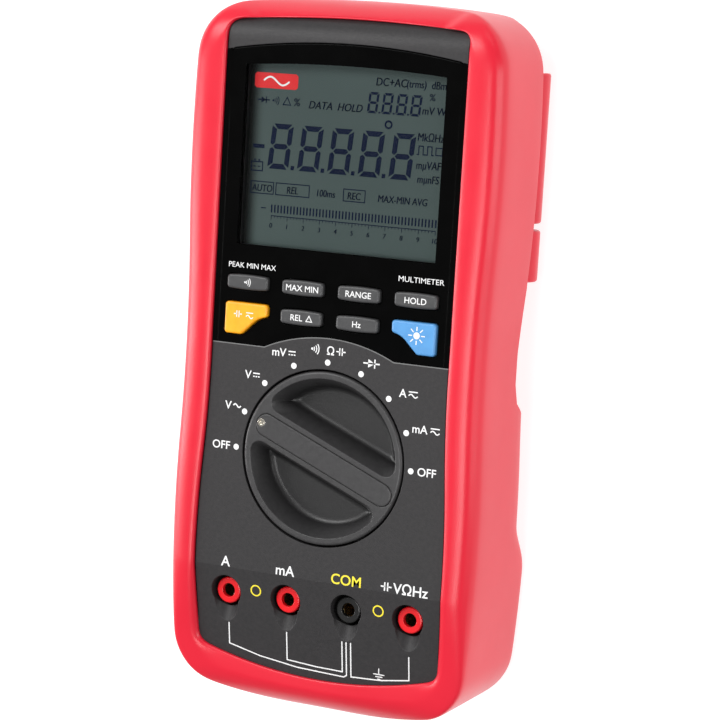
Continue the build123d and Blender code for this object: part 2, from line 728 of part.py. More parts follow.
with BuildPart() as selector_knob:
    with BuildSketch(POINTER.offset(WELL_FLOOR_Z + 0.4)):
        Circle(KNOB_R)
    extrude(amount=KNOB_TOP_Z - WELL_FLOOR_Z - 0.4)
    fillet(selector_knob.edges().group_by(Axis.Z)[-1], 0.8)
    # Two finger scoops leave a bar between them
    for side in (1, -1):
        with BuildSketch(POINTER.offset(KNOB_TOP_Z)) as scoop:
            Circle(SCOOP_R)
            with Locations((0, side * BAR_HALF)):
                align_y = Align.MAX if side > 0 else Align.MIN
                Rectangle(FAR, FAR, align=(Align.CENTER, align_y), mode=Mode.SUBTRACT)
            fillet(scoop.vertices(), 3.0)
        extrude(amount=-SCOOP_DEPTH, taper=SCOOP_TAPER, mode=Mode.SUBTRACT)
    floor_edges = selector_knob.edges().filter_by(
        lambda edge: abs(edge.center().Z - (KNOB_TOP_Z - SCOOP_DEPTH)) < 0.1
    )
    fillet(floor_edges, 1.8)
    with BuildSketch(POINTER.offset(KNOB_TOP_Z)):
        with Locations((-0.5, 0)):
            SlotOverall(INLAY_L + 0.2, INLAY_W + 0.2)
    extrude(amount=-0.9, mode=Mode.SUBTRACT)
    with BuildSketch(POINTER.offset(ROTOR_Z[1])):
        Circle(HUB_R)
    extrude(amount=WELL_FLOOR_Z + 0.4 - ROTOR_Z[1])
    with BuildSketch(POINTER.offset(ROTOR_Z[1])):
        Circle(SCREW_R)
    extrude(amount=KNOB_TOP_Z - 3.0 - ROTOR_Z[1], mode=Mode.SUBTRACT)
save(selector_knob, "selector_knob")

with BuildPart() as knob_inlay:
    with BuildSketch(POINTER.offset(KNOB_TOP_Z - 0.9)):
        with Locations((-0.5, 0)):
            SlotOverall(INLAY_L, INLAY_W)
    extrude(amount=0.9 + INLAY_RISE)
    fillet(knob_inlay.edges().group_by(Axis.Z)[-1], 0.35)
    with BuildSketch(POINTER.offset(KNOB_TOP_Z + INLAY_RISE)):
        with Locations((POINTER_R, 0)):
            Circle(POINTER_PIN_R)
    extrude(amount=-1.0, mode=Mode.SUBTRACT)
save(knob_inlay, "knob_inlay")

with BuildPart() as pointer_pin:
    with BuildSketch(POINTER.offset(KNOB_TOP_Z + INLAY_RISE - 1.0)):
        with Locations((POINTER_R, 0)):
            Circle(POINTER_PIN_R)
    extrude(amount=1.0)
    with BuildSketch(POINTER.offset(KNOB_TOP_Z + INLAY_RISE)):
        with Locations((POINTER_R, 0)):
            Circle(POINTER_PIN_R - 0.5)
    extrude(amount=-0.5, mode=Mode.SUBTRACT)
save(pointer_pin, "pointer_pin")

with BuildPart() as selector_rotor:
    with BuildSketch(POINTER.offset(ROTOR_Z[0])):
        Circle(ROTOR_R)
    extrude(amount=ROTOR_Z[1] - ROTOR_Z[0])
    with BuildSketch(POINTER.offset(ROTOR_Z[0])):
        Circle(SCREW_R + 0.1)
    extrude(amount=ROTOR_Z[1], mode=Mode.SUBTRACT)
    with BuildSketch(POINTER.offset(ROTOR_Z[0])):
        with PolarLocations(DETENT_POCKET_R, 2):
            Rectangle(DETENT_POCKET_L, 2 * DETENT_BALL_R + 0.1)
    extrude(amount=2 * DETENT_BALL_R + 0.1, mode=Mode.SUBTRACT)
save(selector_rotor, "selector_rotor")

detent_z = ROTOR_Z[0] + DETENT_BALL_R + 0.05
with BuildPart() as detent_balls:
    with Locations(POINTER.offset(detent_z)):
        with PolarLocations(DETENT_R, 2):
            Sphere(DETENT_BALL_R)
save(detent_balls, "detent_balls")

with BuildPart() as detent_springs:
    for side in (0, 180):
        spring_x = DIAL_X.rotate(Axis.Z, side)
        start = Vector(0, KNOB_Y, detent_z) + spring_x * DETENT_SPRING_START
        coil_path = Helix(
            DETENT_SPRING_PITCH,
            DETENT_R - DETENT_BALL_R - DETENT_SPRING_START - 0.3,
            DETENT_BALL_R - 0.3,
            center=start,
            direction=spring_x,
        )
        with BuildSketch(Plane(origin=coil_path @ 0, z_dir=coil_path % 0)):
            Circle(0.2)
        sweep(path=coil_path)
save(detent_springs, "detent_springs")

with BuildPart() as detent_ring:
    with BuildSketch(POINTER.offset(ROTOR_Z[0])):
        Circle(DETENT_RING_R + 2.4)
        Circle(DETENT_RING_R, mode=Mode.SUBTRACT)
        with PolarLocations(DETENT_R + 0.8, round(360 / DETENT_PITCH)):
            Circle(DETENT_BALL_R + 0.3, mode=Mode.SUBTRACT)
    extrude(amount=WELL_FLOOR_Z - WELL_FLOOR_T - ROTOR_Z[0])
save(detent_ring, "detent_ring")

with BuildPart() as wiper_springs:
    with BuildSketch(POINTER.offset(ROTOR_Z[0] - 0.25)):
        for radius in (8.0, 11.0, 14.0):
            with PolarLocations(radius, 2, start_angle=90):
                Rectangle(1.6, 6.0)
    extrude(amount=0.25)
save(wiper_springs, "wiper_springs")

with BuildPart() as knob_screw:
    with BuildSketch(POINTER.offset(ROTOR_Z[0] - 1.8)):
        Circle(SCREW_HEAD_R)
    extrude(amount=1.8)
    with BuildSketch(POINTER.offset(ROTOR_Z[0])):
        Circle(SCREW_R)
    extrude(amount=9.0)
    with BuildSketch(POINTER.offset(ROTOR_Z[0] - 1.8)):
        Rectangle(3.2, 0.7)
        Rectangle(0.7, 3.2)
    extrude(amount=0.9, mode=Mode.SUBTRACT)
save(knob_screw, "knob_screw")

# ---- Input sockets ----------------------------------------------------------------------


def socket_rings(places):
    """Insulating rings round the sleeves, with a tapered mouth for the plug."""
    ring_top = face_z(JACK_Y) - RING_DROP
    with BuildPart() as rings:
        with BuildSketch(Plane.XY.offset(JACK_BASE_Z)):
            with Locations(*places):
                Circle(RING_R)
        extrude(amount=ring_top - JACK_BASE_Z)
        fillet(rings.edges().group_by(Axis.Z)[-1], 0.5)
        with BuildSketch(Plane.XY.offset(JACK_BASE_Z)):
            with Locations(*places):
                Circle(SLEEVE_R)
        extrude(amount=ring_top - 1.5 - JACK_BASE_Z, mode=Mode.SUBTRACT)
        with BuildSketch(Plane.XY.offset(JACK_BASE_Z)):
            with Locations(*places):
                Circle(PLUG_R)
        extrude(amount=FACE_Z, mode=Mode.SUBTRACT)
    return rings


red_places = [place for i, place in enumerate(JACK_PLACES) if i != JACK_BLACK]
save(socket_rings(red_places), "socket_rings_red")
save(socket_rings([JACK_PLACES[JACK_BLACK]]), "socket_ring_black")

with BuildPart() as socket_sleeves:
    with BuildSketch(Plane.XY.offset(JACK_BASE_Z - 2.0)):
        with Locations(*JACK_PLACES):
            Circle(SLEEVE_R)
            Circle(PLUG_R, mode=Mode.SUBTRACT)
    extrude(amount=face_z(JACK_Y) - RING_DROP - 1.5 - JACK_BASE_Z + 2.0)
save(socket_sleeves, "socket_sleeves")

with BuildPart() as socket_block:
    with BuildSketch(Plane.XY.offset(JACK_BASE_Z - 4.0)):
        with Locations((0, JACK_Y)):
            RectangleRounded(3 * JACK_PITCH + 15.0, 15.0, 3.0)
    extrude(amount=4.0)
    with BuildSketch(Plane.XY.offset(JACK_BASE_Z - 2.0)):
        with Locations(*JACK_PLACES):
            Circle(SLEEVE_R)
    extrude(amount=2.0, mode=Mode.SUBTRACT)
save(socket_block, "socket_block")

# ---- Circuit board and its components ---------------------------------------------------

with BuildPart() as main_board:
    with BuildSketch(Plane.XY.offset(BOARD_Z)):
        add(boot_plan(BOOT_WALL + WALL + 0.6))
        with Locations(*SCREWS):
            Circle(BOSS_R + 0.2, mode=Mode.SUBTRACT)
        with Locations(*JACK_PLACES):
            Circle(SHROUD_R + SHROUD_WALL + 0.3, mode=Mode.SUBTRACT)
        with Locations(KNOB_CENTRE):
            Circle(SCREW_HEAD_R + 0.7, mode=Mode.SUBTRACT)
    extrude(amount=BOARD_T)
save(main_board, "main_board")


def flat_chip(centre, width, length, thickness, pins):
    """A surface-mount chip on the board's back, with a row of pins down each long side."""
    with BuildPart() as chip:
        with BuildSketch(Plane.XY.offset(BOARD_Z - thickness - 0.1)):
            with Locations(centre):
                Rectangle(width, length)
        extrude(amount=thickness)
        with BuildSketch(Plane.XY.offset(BOARD_Z - 0.3)):
            with Locations(centre):
                with GridLocations(width + 1.0, (length - 1.5) / (pins - 1), 2, pins):
                    Rectangle(1.4, 0.4)
        extrude(amount=0.3)
    return chip


save(flat_chip((-14.0, 44.0), 14.0, 20.0, 1.7, 16), "measuring_chip")
save(flat_chip((12.0, 36.0), 10.0, 16.0, 1.5, 12), "controller_chip")

with BuildPart() as shield_plate:
    with BuildSketch(Plane.XY.offset(BOARD_Z - 5.0)):
        with Locations((-14.0, 44.0)):
            Rectangle(24.0, 30.0)
    extrude(amount=5.0)
    with BuildSketch(Plane.XY.offset(BOARD_Z - 4.6)):
        with Locations((-14.0, 44.0)):
            Rectangle(23.2, 29.2)
    extrude(amount=5.0, mode=Mode.SUBTRACT)
save(shield_plate, "shield_plate")

with BuildPart() as crystal:
    with BuildSketch(Plane.XY.offset(BOARD_Z - 3.6)):
        with Locations((25.0, 36.0)):
            SlotOverall(11.0, 4.6, rotation=90)
    extrude(amount=3.6)
    fillet(crystal.edges().group_by(Axis.Z)[0], 0.8)
save(crystal, "crystal")

with BuildPart() as electrolytic_capacitors:
    with BuildSketch(Plane.XY.offset(BOARD_Z - 8.0)):
        with Locations((8.0, 60.0), (16.0, 60.0)):
            Circle(3.15)
    extrude(amount=8.0)
    fillet(electrolytic_capacitors.edges().group_by(Axis.Z)[0], 0.5)
save(electrolytic_capacitors, "electrolytic_capacitors")

with BuildPart() as piezo_sounder:
    with BuildSketch(Plane.XY.offset(BOARD_Z - 4.0)):
        with Locations((-18.0, 74.0)):
            Circle(8.0)
    extrude(amount=4.0)
    with BuildSketch(Plane.XY.offset(BOARD_Z - 4.0)):
        with Locations((-18.0, 74.0)):
            Circle(1.2)
    extrude(amount=2.0, mode=Mode.SUBTRACT)
save(piezo_sounder, "piezo_sounder")

with BuildPart() as divider_network:
    with BuildSketch(Plane.XY.offset(BOARD_Z - 8.5)):
        with Locations((31.5, -41.0)):
            Rectangle(1.6, 26.0)
    extrude(amount=7.0)
    with BuildSketch(Plane.XY.offset(BOARD_Z - 1.5)):
        with Locations((31.5, -41.0)):
            with GridLocations(0, 2.54, 1, 10):
                Rectangle(0.5, 0.5)
    extrude(amount=1.5)
save(divider_network, "divider_network")

with BuildPart() as varistors:
    for y in (-55.0, -47.5, -40.0):
        with BuildSketch(Plane.XZ.offset(-y)):
            with Locations((-36.2, BOARD_Z - 7.0)):
                Circle(4.0)
        extrude(amount=3.4)
        with BuildSketch(Plane.XY.offset(BOARD_Z - 4.0)):
            with Locations((-37.2, y - 1.7), (-35.2, y - 1.7)):
                Circle(0.4)
        extrude(amount=4.0)
save(varistors, "varistors")


def fuse(x, z, radius, length):
    """A cartridge fuse with a metal cap at each end."""
    with BuildPart() as made:
        with BuildSketch(Plane.XZ.offset(-(FUSE_MID_Y - length / 2))):
            with Locations((x, z)):
                Circle(radius - 0.25)
        extrude(amount=-length)
        for end_y in (FUSE_MID_Y - length / 2, FUSE_MID_Y + length / 2 - length / 5):
            with BuildSketch(Plane.XZ.offset(-end_y)):
                with Locations((x, z)):
                    Circle(radius)
            extrude(amount=-length / 5)
    return made


save(fuse(*BIG_FUSE), "high_current_fuse")
save(fuse(*SMALL_FUSE), "low_current_fuse")

with BuildPart() as fuse_clips:
    for x, z, radius, length in (BIG_FUSE, SMALL_FUSE):
        for end in (-1, 1):
            clip_y = FUSE_MID_Y + end * (length / 2 - length / 10)
            with BuildSketch(Plane.XZ.offset(-(clip_y - 2.5))):
                with Locations((x, z)):
                    Circle(radius + 0.6)
                    Circle(radius + 0.05, mode=Mode.SUBTRACT)
                    Rectangle(1.4 * radius, FAR, align=(Align.CENTER, Align.MAX), mode=Mode.SUBTRACT)
                with Locations((x, (z + radius + BOARD_Z) / 2 + 0.2)):
                    Rectangle(radius, BOARD_Z - z - radius - 0.4)
            extrude(amount=-5.0)
save(fuse_clips, "fuse_clips")

with BuildPart() as current_shunt:
    with BuildLine() as shunt_path:
        FilletPolyline(
            (-17.0, -60.4, BOARD_Z),
            (-17.0, -60.4, BOARD_Z - 7.0),
            (-3.0, -60.4, BOARD_Z - 7.0),
            (-3.0, -60.4, BOARD_Z),
            radius=2.5,
        )
    with BuildSketch(Plane(origin=(-17.0, -60.4, BOARD_Z), z_dir=(0, 0, -1))):
        Circle(0.9)
    sweep()
save(current_shunt, "current_shunt")

with BuildPart() as data_port_lens:
    with BuildSketch(Plane.XY.offset(BACK_Z)):
        with Locations((0, 72.0)):
            Rectangle(11.8, 5.8)
    extrude(amount=WALL)
save(data_port_lens, "data_port_lens")

with BuildPart() as infrared_leds:
    with BuildSketch(Plane.XY.offset(BACK_Z + WALL + 4.0)):
        with Locations((-3.0, 72.0), (3.0, 72.0)):
            Circle(1.5)
    extrude(amount=BOARD_Z - BACK_Z - WALL - 4.0)
    fillet(infrared_leds.edges().group_by(Axis.Z)[0], 1.2)
save(infrared_leds, "infrared_leds")

with BuildPart() as board_screws:
    for x, y in BOARD_SCREWS:
        with BuildSketch(Plane.XY.offset(BOARD_Z - 1.6)):
            with Locations((x, y)):
                Circle(2.2)
        extrude(amount=1.6)
        with BuildSketch(Plane.XY.offset(BOARD_Z - 1.6)):
            with Locations((x, y)):
                Rectangle(2.6, 0.6)
                Rectangle(0.6, 2.6)
        extrude(amount=0.8, mode=Mode.SUBTRACT)
save(board_screws, "board_screws")

# ---- Battery ----------------------------------------------------------------------------

battery_mid_y = BATTERY_END_Y - BATTERY_L / 2 + 1.5
with BuildPart() as battery:
    with BuildSketch(Plane.XY.offset(BATTERY_Z)):
        with Locations((0, battery_mid_y)):
            RectangleRounded(BATTERY_W, BATTERY_L - 3.0, 0.6)
    extrude(amount=BATTERY_T)
    fillet(battery.edges().filter_by(Axis.Y), 1.8)
    with BuildSketch(Plane.XZ.offset(-(battery_mid_y + (BATTERY_L - 3.0) / 2))):
        with Locations((-6.4, BATTERY_Z + BATTERY_T / 2), (6.4, BATTERY_Z + BATTERY_T / 2)):
            Circle(2.9)
    extrude(amount=-2.2)
save(battery, "battery")

snap_y = battery_mid_y + (BATTERY_L - 3.0) / 2 + 2.3
with BuildPart() as battery_snap:
    with BuildSketch(Plane.XZ.offset(-snap_y)):
        with Locations((0, BATTERY_Z + BATTERY_T / 2)):
            RectangleRounded(25.0, 11.5, 2.5)
    extrude(amount=-2.2)
save(battery_snap, "battery_snap")


def battery_lead(x):
    """A lead from the snap to the back of the board."""
    lead_z = BATTERY_Z + BATTERY_T / 2
    start = (x, snap_y + 2.2, lead_z)
    with BuildPart() as lead:
        with BuildLine():
            FilletPolyline(
                start,
                (x, snap_y + 7.0, lead_z),
                (x * 1.6, snap_y + 10.0, (lead_z + BOARD_Z) / 2),
                (x * 1.6, snap_y + 10.0, BOARD_Z),
                radius=2.2,
            )
        with BuildSketch(Plane(origin=start, z_dir=(0, 1, 0))):
            Circle(0.7)
        sweep()
    return lead


save(battery_lead(4.0), "battery_lead_red")
save(battery_lead(-4.0), "battery_lead_black")

with BuildPart() as battery_door:
    with BuildSketch(Plane.XY.offset(BACK_Z)):
        with Locations((0, (DOOR_LOW_Y + DOOR_HIGH_Y) / 2)):
            Rectangle(2 * DOOR_HALF, DOOR_HIGH_Y - DOOR_LOW_Y)
    extrude(amount=WALL)
    with BuildSketch(Plane.XY.offset(BACK_Z)):
        with Locations((0, DOOR_HIGH_Y - 3.5)):
            Circle(SCREW_HEAD_R + 0.2)
    extrude(amount=1.2, mode=Mode.SUBTRACT)
    with BuildSketch(Plane.XY.offset(BACK_Z)):
        with Locations((0, DOOR_HIGH_Y - 3.5)):
            Circle(SCREW_R + 0.1)
    extrude(amount=WALL, mode=Mode.SUBTRACT)
    with BuildSketch(Plane.XY.offset(BACK_Z)):
        with Locations((0, DOOR_LOW_Y + 10.0)):
            with GridLocations(0, 2.4, 1, 4):
                SlotOverall(12.0, 1.0)
    extrude(amount=0.5, mode=Mode.SUBTRACT)
save(battery_door, "battery_door")

with BuildPart() as battery_door_screw:
    with BuildSketch(Plane.XY.offset(BACK_Z)):
        with Locations((0, DOOR_HIGH_Y - 3.5)):
            Circle(SCREW_HEAD_R)
    extrude(amount=1.2)
    with BuildSketch(Plane.XY.offset(BACK_Z)):
        with Locations((0, DOOR_HIGH_Y - 3.5)):
            Circle(SCREW_R)
    extrude(amount=9.0)
    with BuildSketch(Plane.XY.offset(BACK_Z)):
        with Locations((0, DOOR_HIGH_Y - 3.5)):
            Rectangle(4.0, 0.7)
    extrude(amount=0.7, mode=Mode.SUBTRACT)
save(battery_door_screw, "battery_door_screw")

# ---- Tilt stand -------------------------------------------------------------------------

with BuildPart() as tilt_stand:
    neck_y = STAND_AXIS[0] - STAND_BARREL_R - 0.4
    with BuildSketch(Plane.XY.offset(STAND_Z[0])) as stand_plan:
        with Locations((0, (STAND_FOOT_Y + neck_y) / 2)):
            Rectangle(2 * STAND_HALF, neck_y - STAND_FOOT_Y)
        fillet(stand_plan.vertices().group_by(Axis.Y)[0], 5.0)
        with Locations((0, STAND_FOOT_Y + 11.0)):
            Rectangle(
                2 * (STAND_HALF - STAND_ARM), FAR, align=(Align.CENTER, Align.MIN),
                mode=Mode.SUBTRACT,
            )
    extrude(amount=STAND_Z[1] - STAND_Z[0])
    for side in (-1, 1):
        arm_x = side * (STAND_HALF - STAND_ARM / 2)
        with BuildSketch(Plane.YZ.offset(arm_x - STAND_ARM / 2)):
            with BuildLine():
                Polyline(
                    (neck_y, STAND_Z[0]),
                    (STAND_AXIS[0], STAND_AXIS[1] - STAND_BARREL_R),
                    STAND_AXIS,
                    (neck_y, STAND_Z[1]),
                    close=True,
                )
            make_face()
            with Locations(STAND_AXIS):
                Circle(STAND_BARREL_R)
        extrude(amount=STAND_ARM)
    with BuildSketch(Plane.YZ.offset(-STAND_HALF)):
        with Locations(STAND_AXIS):
            Circle(STAND_PIN_R + 0.05)
    extrude(amount=2 * STAND_HALF, mode=Mode.SUBTRACT)
save(tilt_stand, "tilt_stand")

with BuildPart() as stand_pins:
    for side in (-1, 1):
        with BuildSketch(Plane.YZ.offset(side * (STAND_HALF - STAND_ARM + 0.5))):
            with Locations(STAND_AXIS):
                Circle(STAND_PIN_R)
        extrude(amount=side * (STAND_ARM + 3.0))
save(stand_pins, "stand_pins")
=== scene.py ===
import json
import math

import bmesh
import bpy
import numpy as np
from mathutils import Matrix, Vector


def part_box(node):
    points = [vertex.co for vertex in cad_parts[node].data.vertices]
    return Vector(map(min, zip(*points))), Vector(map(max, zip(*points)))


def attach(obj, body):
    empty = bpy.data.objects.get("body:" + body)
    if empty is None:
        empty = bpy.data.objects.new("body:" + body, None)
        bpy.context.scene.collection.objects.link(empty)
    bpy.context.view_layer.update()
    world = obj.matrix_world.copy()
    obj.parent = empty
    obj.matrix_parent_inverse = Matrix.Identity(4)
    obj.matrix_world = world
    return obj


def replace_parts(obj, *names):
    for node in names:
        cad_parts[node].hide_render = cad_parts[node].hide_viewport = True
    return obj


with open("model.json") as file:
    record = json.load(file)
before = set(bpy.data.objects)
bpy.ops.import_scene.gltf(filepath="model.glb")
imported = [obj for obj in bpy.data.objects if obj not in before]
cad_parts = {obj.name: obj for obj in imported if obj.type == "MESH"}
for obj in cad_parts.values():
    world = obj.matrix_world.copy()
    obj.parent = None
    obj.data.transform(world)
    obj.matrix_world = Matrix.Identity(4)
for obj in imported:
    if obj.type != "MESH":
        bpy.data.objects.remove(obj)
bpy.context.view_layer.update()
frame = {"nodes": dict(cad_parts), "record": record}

MM = 0.001

# ---- Sizes shared with the CAD part, in millimetres ---------------------------------------

BOOT_END = 101.0
BOOT_WALL = 4.4
RAIL_Z = 43.0
RAIL_ROUND = 6.0
BACK_ROUND = 2.8
BEVEL_FROM, BEVEL_TO = -58.0, -44.0
BEVEL_ACROSS, BEVEL_RISE = 4.5, 9.6
BAR_END, BAR_STEP_W, BAR_DROP = 34.0, 2.2, 1.1
FACE_Z = 41.0
CREASE_Y = -61.5
FACE_SLOPE = math.tan(math.radians(9.5))
SHOULDER_Y = 88.5
SHOULDER_R = 8.0
LCD_Z = 38.0
KEY_TOP_Z = 42.2
KNOB_Y = -26.5
DIAL_R = 27.2
CLIP_X, CLIP_Z = 40.4, 7.0
CLIP_OUTER_R, CLIP_BORE_R = 6.6, 4.75
CLIP_MOUTH = 6.4


def face_z(y):
    """Height of the case's face at y."""
    return FACE_Z - max(0.0, CREASE_Y - y) * FACE_SLOPE


def case_z(y):
    """Height of the case at y, its rounded shoulder above the display included."""
    if y > SHOULDER_Y:
        rise = max(0.0, SHOULDER_R ** 2 - (y - SHOULDER_Y) ** 2)
        return FACE_Z - SHOULDER_R + math.sqrt(rise)
    return face_z(y)


# ---- Materials ----------------------------------------------------------------------------


def node(tree, kind, **values):
    """A new node with the given input values, by socket name."""
    made = tree.nodes.new(kind)
    for name, value in values.items():
        made.inputs[name.replace("_", " ")].default_value = value
    return made


def surface(name, colour, other, grain=60.0, rough=(0.4, 0.5), bump=0.1, bump_grain=1500.0,
            depth=0.0002, soft_edge=0.0, **fixed):
    """A procedural surface: two close colours in patches, uneven roughness and a fine bump."""
    made = bpy.data.materials.new(name)
    made.use_nodes = True
    tree = made.node_tree
    shader = tree.nodes["Principled BSDF"]
    for socket, value in fixed.items():
        shader.inputs[socket.replace("_", " ")].default_value = value
    place = tree.nodes.new("ShaderNodeTexCoord")
    patches = node(tree, "ShaderNodeTexNoise", Scale=grain, Detail=4.0, Roughness=0.55)
    tree.links.new(place.outputs["Object"], patches.inputs["Vector"])
    ramp = tree.nodes.new("ShaderNodeValToRGB")
    ramp.color_ramp.elements[0].position = 0.32
    ramp.color_ramp.elements[0].color = (*colour, 1.0)
    ramp.color_ramp.elements[1].position = 0.68
    ramp.color_ramp.elements[1].color = (*other, 1.0)
    tree.links.new(patches.outputs["Fac"], ramp.inputs["Fac"])
    tree.links.new(ramp.outputs["Color"], shader.inputs["Base Color"])
    uneven = node(tree, "ShaderNodeTexNoise", Scale=grain * 2.7, Detail=3.0)
    tree.links.new(place.outputs["Object"], uneven.inputs["Vector"])
    spread = node(tree, "ShaderNodeMapRange", From_Min=0.3, From_Max=0.7)
    spread.inputs["To Min"].default_value = rough[0]
    spread.inputs["To Max"].default_value = rough[1]
    tree.links.new(uneven.outputs["Fac"], spread.inputs["Value"])
    tree.links.new(spread.outputs["Result"], shader.inputs["Roughness"])
    fine = node(tree, "ShaderNodeTexNoise", Scale=bump_grain, Detail=2.0)
    tree.links.new(place.outputs["Object"], fine.inputs["Vector"])
    relief = node(tree, "ShaderNodeBump", Strength=bump, Distance=depth)
    tree.links.new(fine.outputs["Fac"], relief.inputs["Height"])
    if soft_edge:
        edge = node(tree, "ShaderNodeBevel", Radius=soft_edge * MM)
        edge.samples = 6
        tree.links.new(edge.outputs["Normal"], relief.inputs["Normal"])
    tree.links.new(relief.outputs["Normal"], shader.inputs["Normal"])
    return made


def grey(level):
    return (level, level, level)


MATERIALS = {
    "boot_rubber": surface(
        "boot_rubber", (0.70, 0.013, 0.034), (0.66, 0.011, 0.030), grain=35, rough=(0.29, 0.33),
        bump=0.04, bump_grain=1400, depth=0.0001, Specular_IOR_Level=0.4),
    "case_plastic": surface(
        "case_plastic", (0.030, 0.028, 0.029), (0.023, 0.022, 0.023), grain=900, rough=(0.42, 0.55),
        bump=0.35, bump_grain=2300, depth=0.00012, soft_edge=0.35, Specular_IOR_Level=0.3),
    "silicone": surface(
        "silicone", (0.30, 0.30, 0.32), (0.26, 0.26, 0.28), rough=(0.6, 0.7)),
    "steel": surface(
        "steel", (0.62, 0.62, 0.64), (0.52, 0.52, 0.55), rough=(0.22, 0.36), Metallic=1.0),
    "black_plastic": surface(
        "black_plastic", grey(0.012), grey(0.018), rough=(0.35, 0.5), soft_edge=0.2),
    "lcd_glass": surface(
        "lcd_glass", (0.066, 0.090, 0.085), (0.060, 0.082, 0.079), grain=22, rough=(0.32, 0.4),
        bump=0.05, bump_grain=4000, depth=0.00003, Specular_IOR_Level=0.15),
    "light_guide": surface(
        "light_guide", (0.85, 0.87, 0.88), (0.78, 0.80, 0.83), rough=(0.2, 0.3)),
    "key_grey": surface(
        "key_grey", (0.050, 0.050, 0.051), (0.040, 0.040, 0.042), grain=400, rough=(0.35, 0.45),
        bump=0.15, bump_grain=2600, depth=0.00008, soft_edge=0.5),
    "key_yellow": surface(
        "key_yellow", (1.0, 0.42, 0.008), (0.95, 0.36, 0.006), grain=300, rough=(0.34, 0.44),
        bump=0.12, bump_grain=2600, depth=0.00008, soft_edge=0.5),
    "key_blue": surface(
        "key_blue", (0.090, 0.32, 0.66), (0.078, 0.28, 0.60), grain=300, rough=(0.34, 0.44),
        bump=0.12, bump_grain=2600, depth=0.00008, soft_edge=0.5),
    "knob_plastic": surface(
        "knob_plastic", (0.038, 0.037, 0.038), (0.030, 0.029, 0.030), grain=600, rough=(0.34, 0.44),
        bump=0.22, bump_grain=2300, depth=0.0001, soft_edge=0.5),
    "polished_metal": surface(
        "polished_metal", (0.86, 0.82, 0.72), (0.80, 0.75, 0.64), rough=(0.12, 0.2), Metallic=1.0,
        soft_edge=0.1),
    "white_plastic": surface(
        "white_plastic", (0.80, 0.80, 0.77), (0.74, 0.74, 0.71), rough=(0.4, 0.5)),
    "brass": surface(
        "brass", (0.70, 0.52, 0.24), (0.60, 0.43, 0.18), rough=(0.2, 0.34), Metallic=1.0),
    "socket_red": surface(
        "socket_red", (0.80, 0.010, 0.016), (0.74, 0.008, 0.014), rough=(0.2, 0.28), bump=0.04,
        soft_edge=0.25),
    "socket_black": surface(
        "socket_black", grey(0.012), grey(0.009), rough=(0.18, 0.26), bump=0.04, soft_edge=0.25),
    "circuit_board": surface(
        "circuit_board", (0.02, 0.20, 0.08), (0.015, 0.15, 0.06), grain=700, rough=(0.3, 0.42)),
    "chip_plastic": surface(
        "chip_plastic", grey(0.02), grey(0.03), rough=(0.5, 0.6)),
    "can_aluminium": surface(
        "can_aluminium", grey(0.74), grey(0.66), rough=(0.25, 0.35), Metallic=1.0),
    "ceramic": surface(
        "ceramic", (0.86, 0.84, 0.77), (0.80, 0.78, 0.70), rough=(0.3, 0.4)),
    "varistor_blue": surface(
        "varistor_blue", (0.03, 0.10, 0.42), (0.02, 0.08, 0.36), rough=(0.25, 0.35)),
    "battery_jacket": surface(
        "battery_jacket", (0.10, 0.11, 0.13), (0.08, 0.09, 0.11), rough=(0.3, 0.4)),
    "lead_red": surface(
        "lead_red", (0.60, 0.02, 0.02), (0.52, 0.015, 0.015), rough=(0.35, 0.45)),
    "print_white": surface(
        "print_white", grey(0.86), grey(0.78), grain=500, rough=(0.45, 0.55)),
    "print_yellow": surface(
        "print_yellow", (0.92, 0.78, 0.04), (0.86, 0.70, 0.03), grain=500, rough=(0.45, 0.55)),
    "lcd_ink": surface(
        "lcd_ink", (0.004, 0.008, 0.026), (0.006, 0.011, 0.032), grain=300, rough=(0.5, 0.6),
        Specular_IOR_Level=0.05),
    # Pale grey for a painted highlight along the case's edge below the lens
    "painted_edge_highlight": surface(
        "painted_edge_highlight", grey(0.16), grey(0.12), grain=500, rough=(0.4, 0.5)),
    "patch_red": surface(
        "patch_red", (0.75, 0.008, 0.012), (0.70, 0.006, 0.010), grain=300, rough=(0.3, 0.4)),
}


WINDOW_HALF, WINDOW_FOOT, WINDOW_TOP = 30.5, 31.2, 82.8
WINDOW_ARCH = -1.29          # fall of the window's top edge, per metre across squared


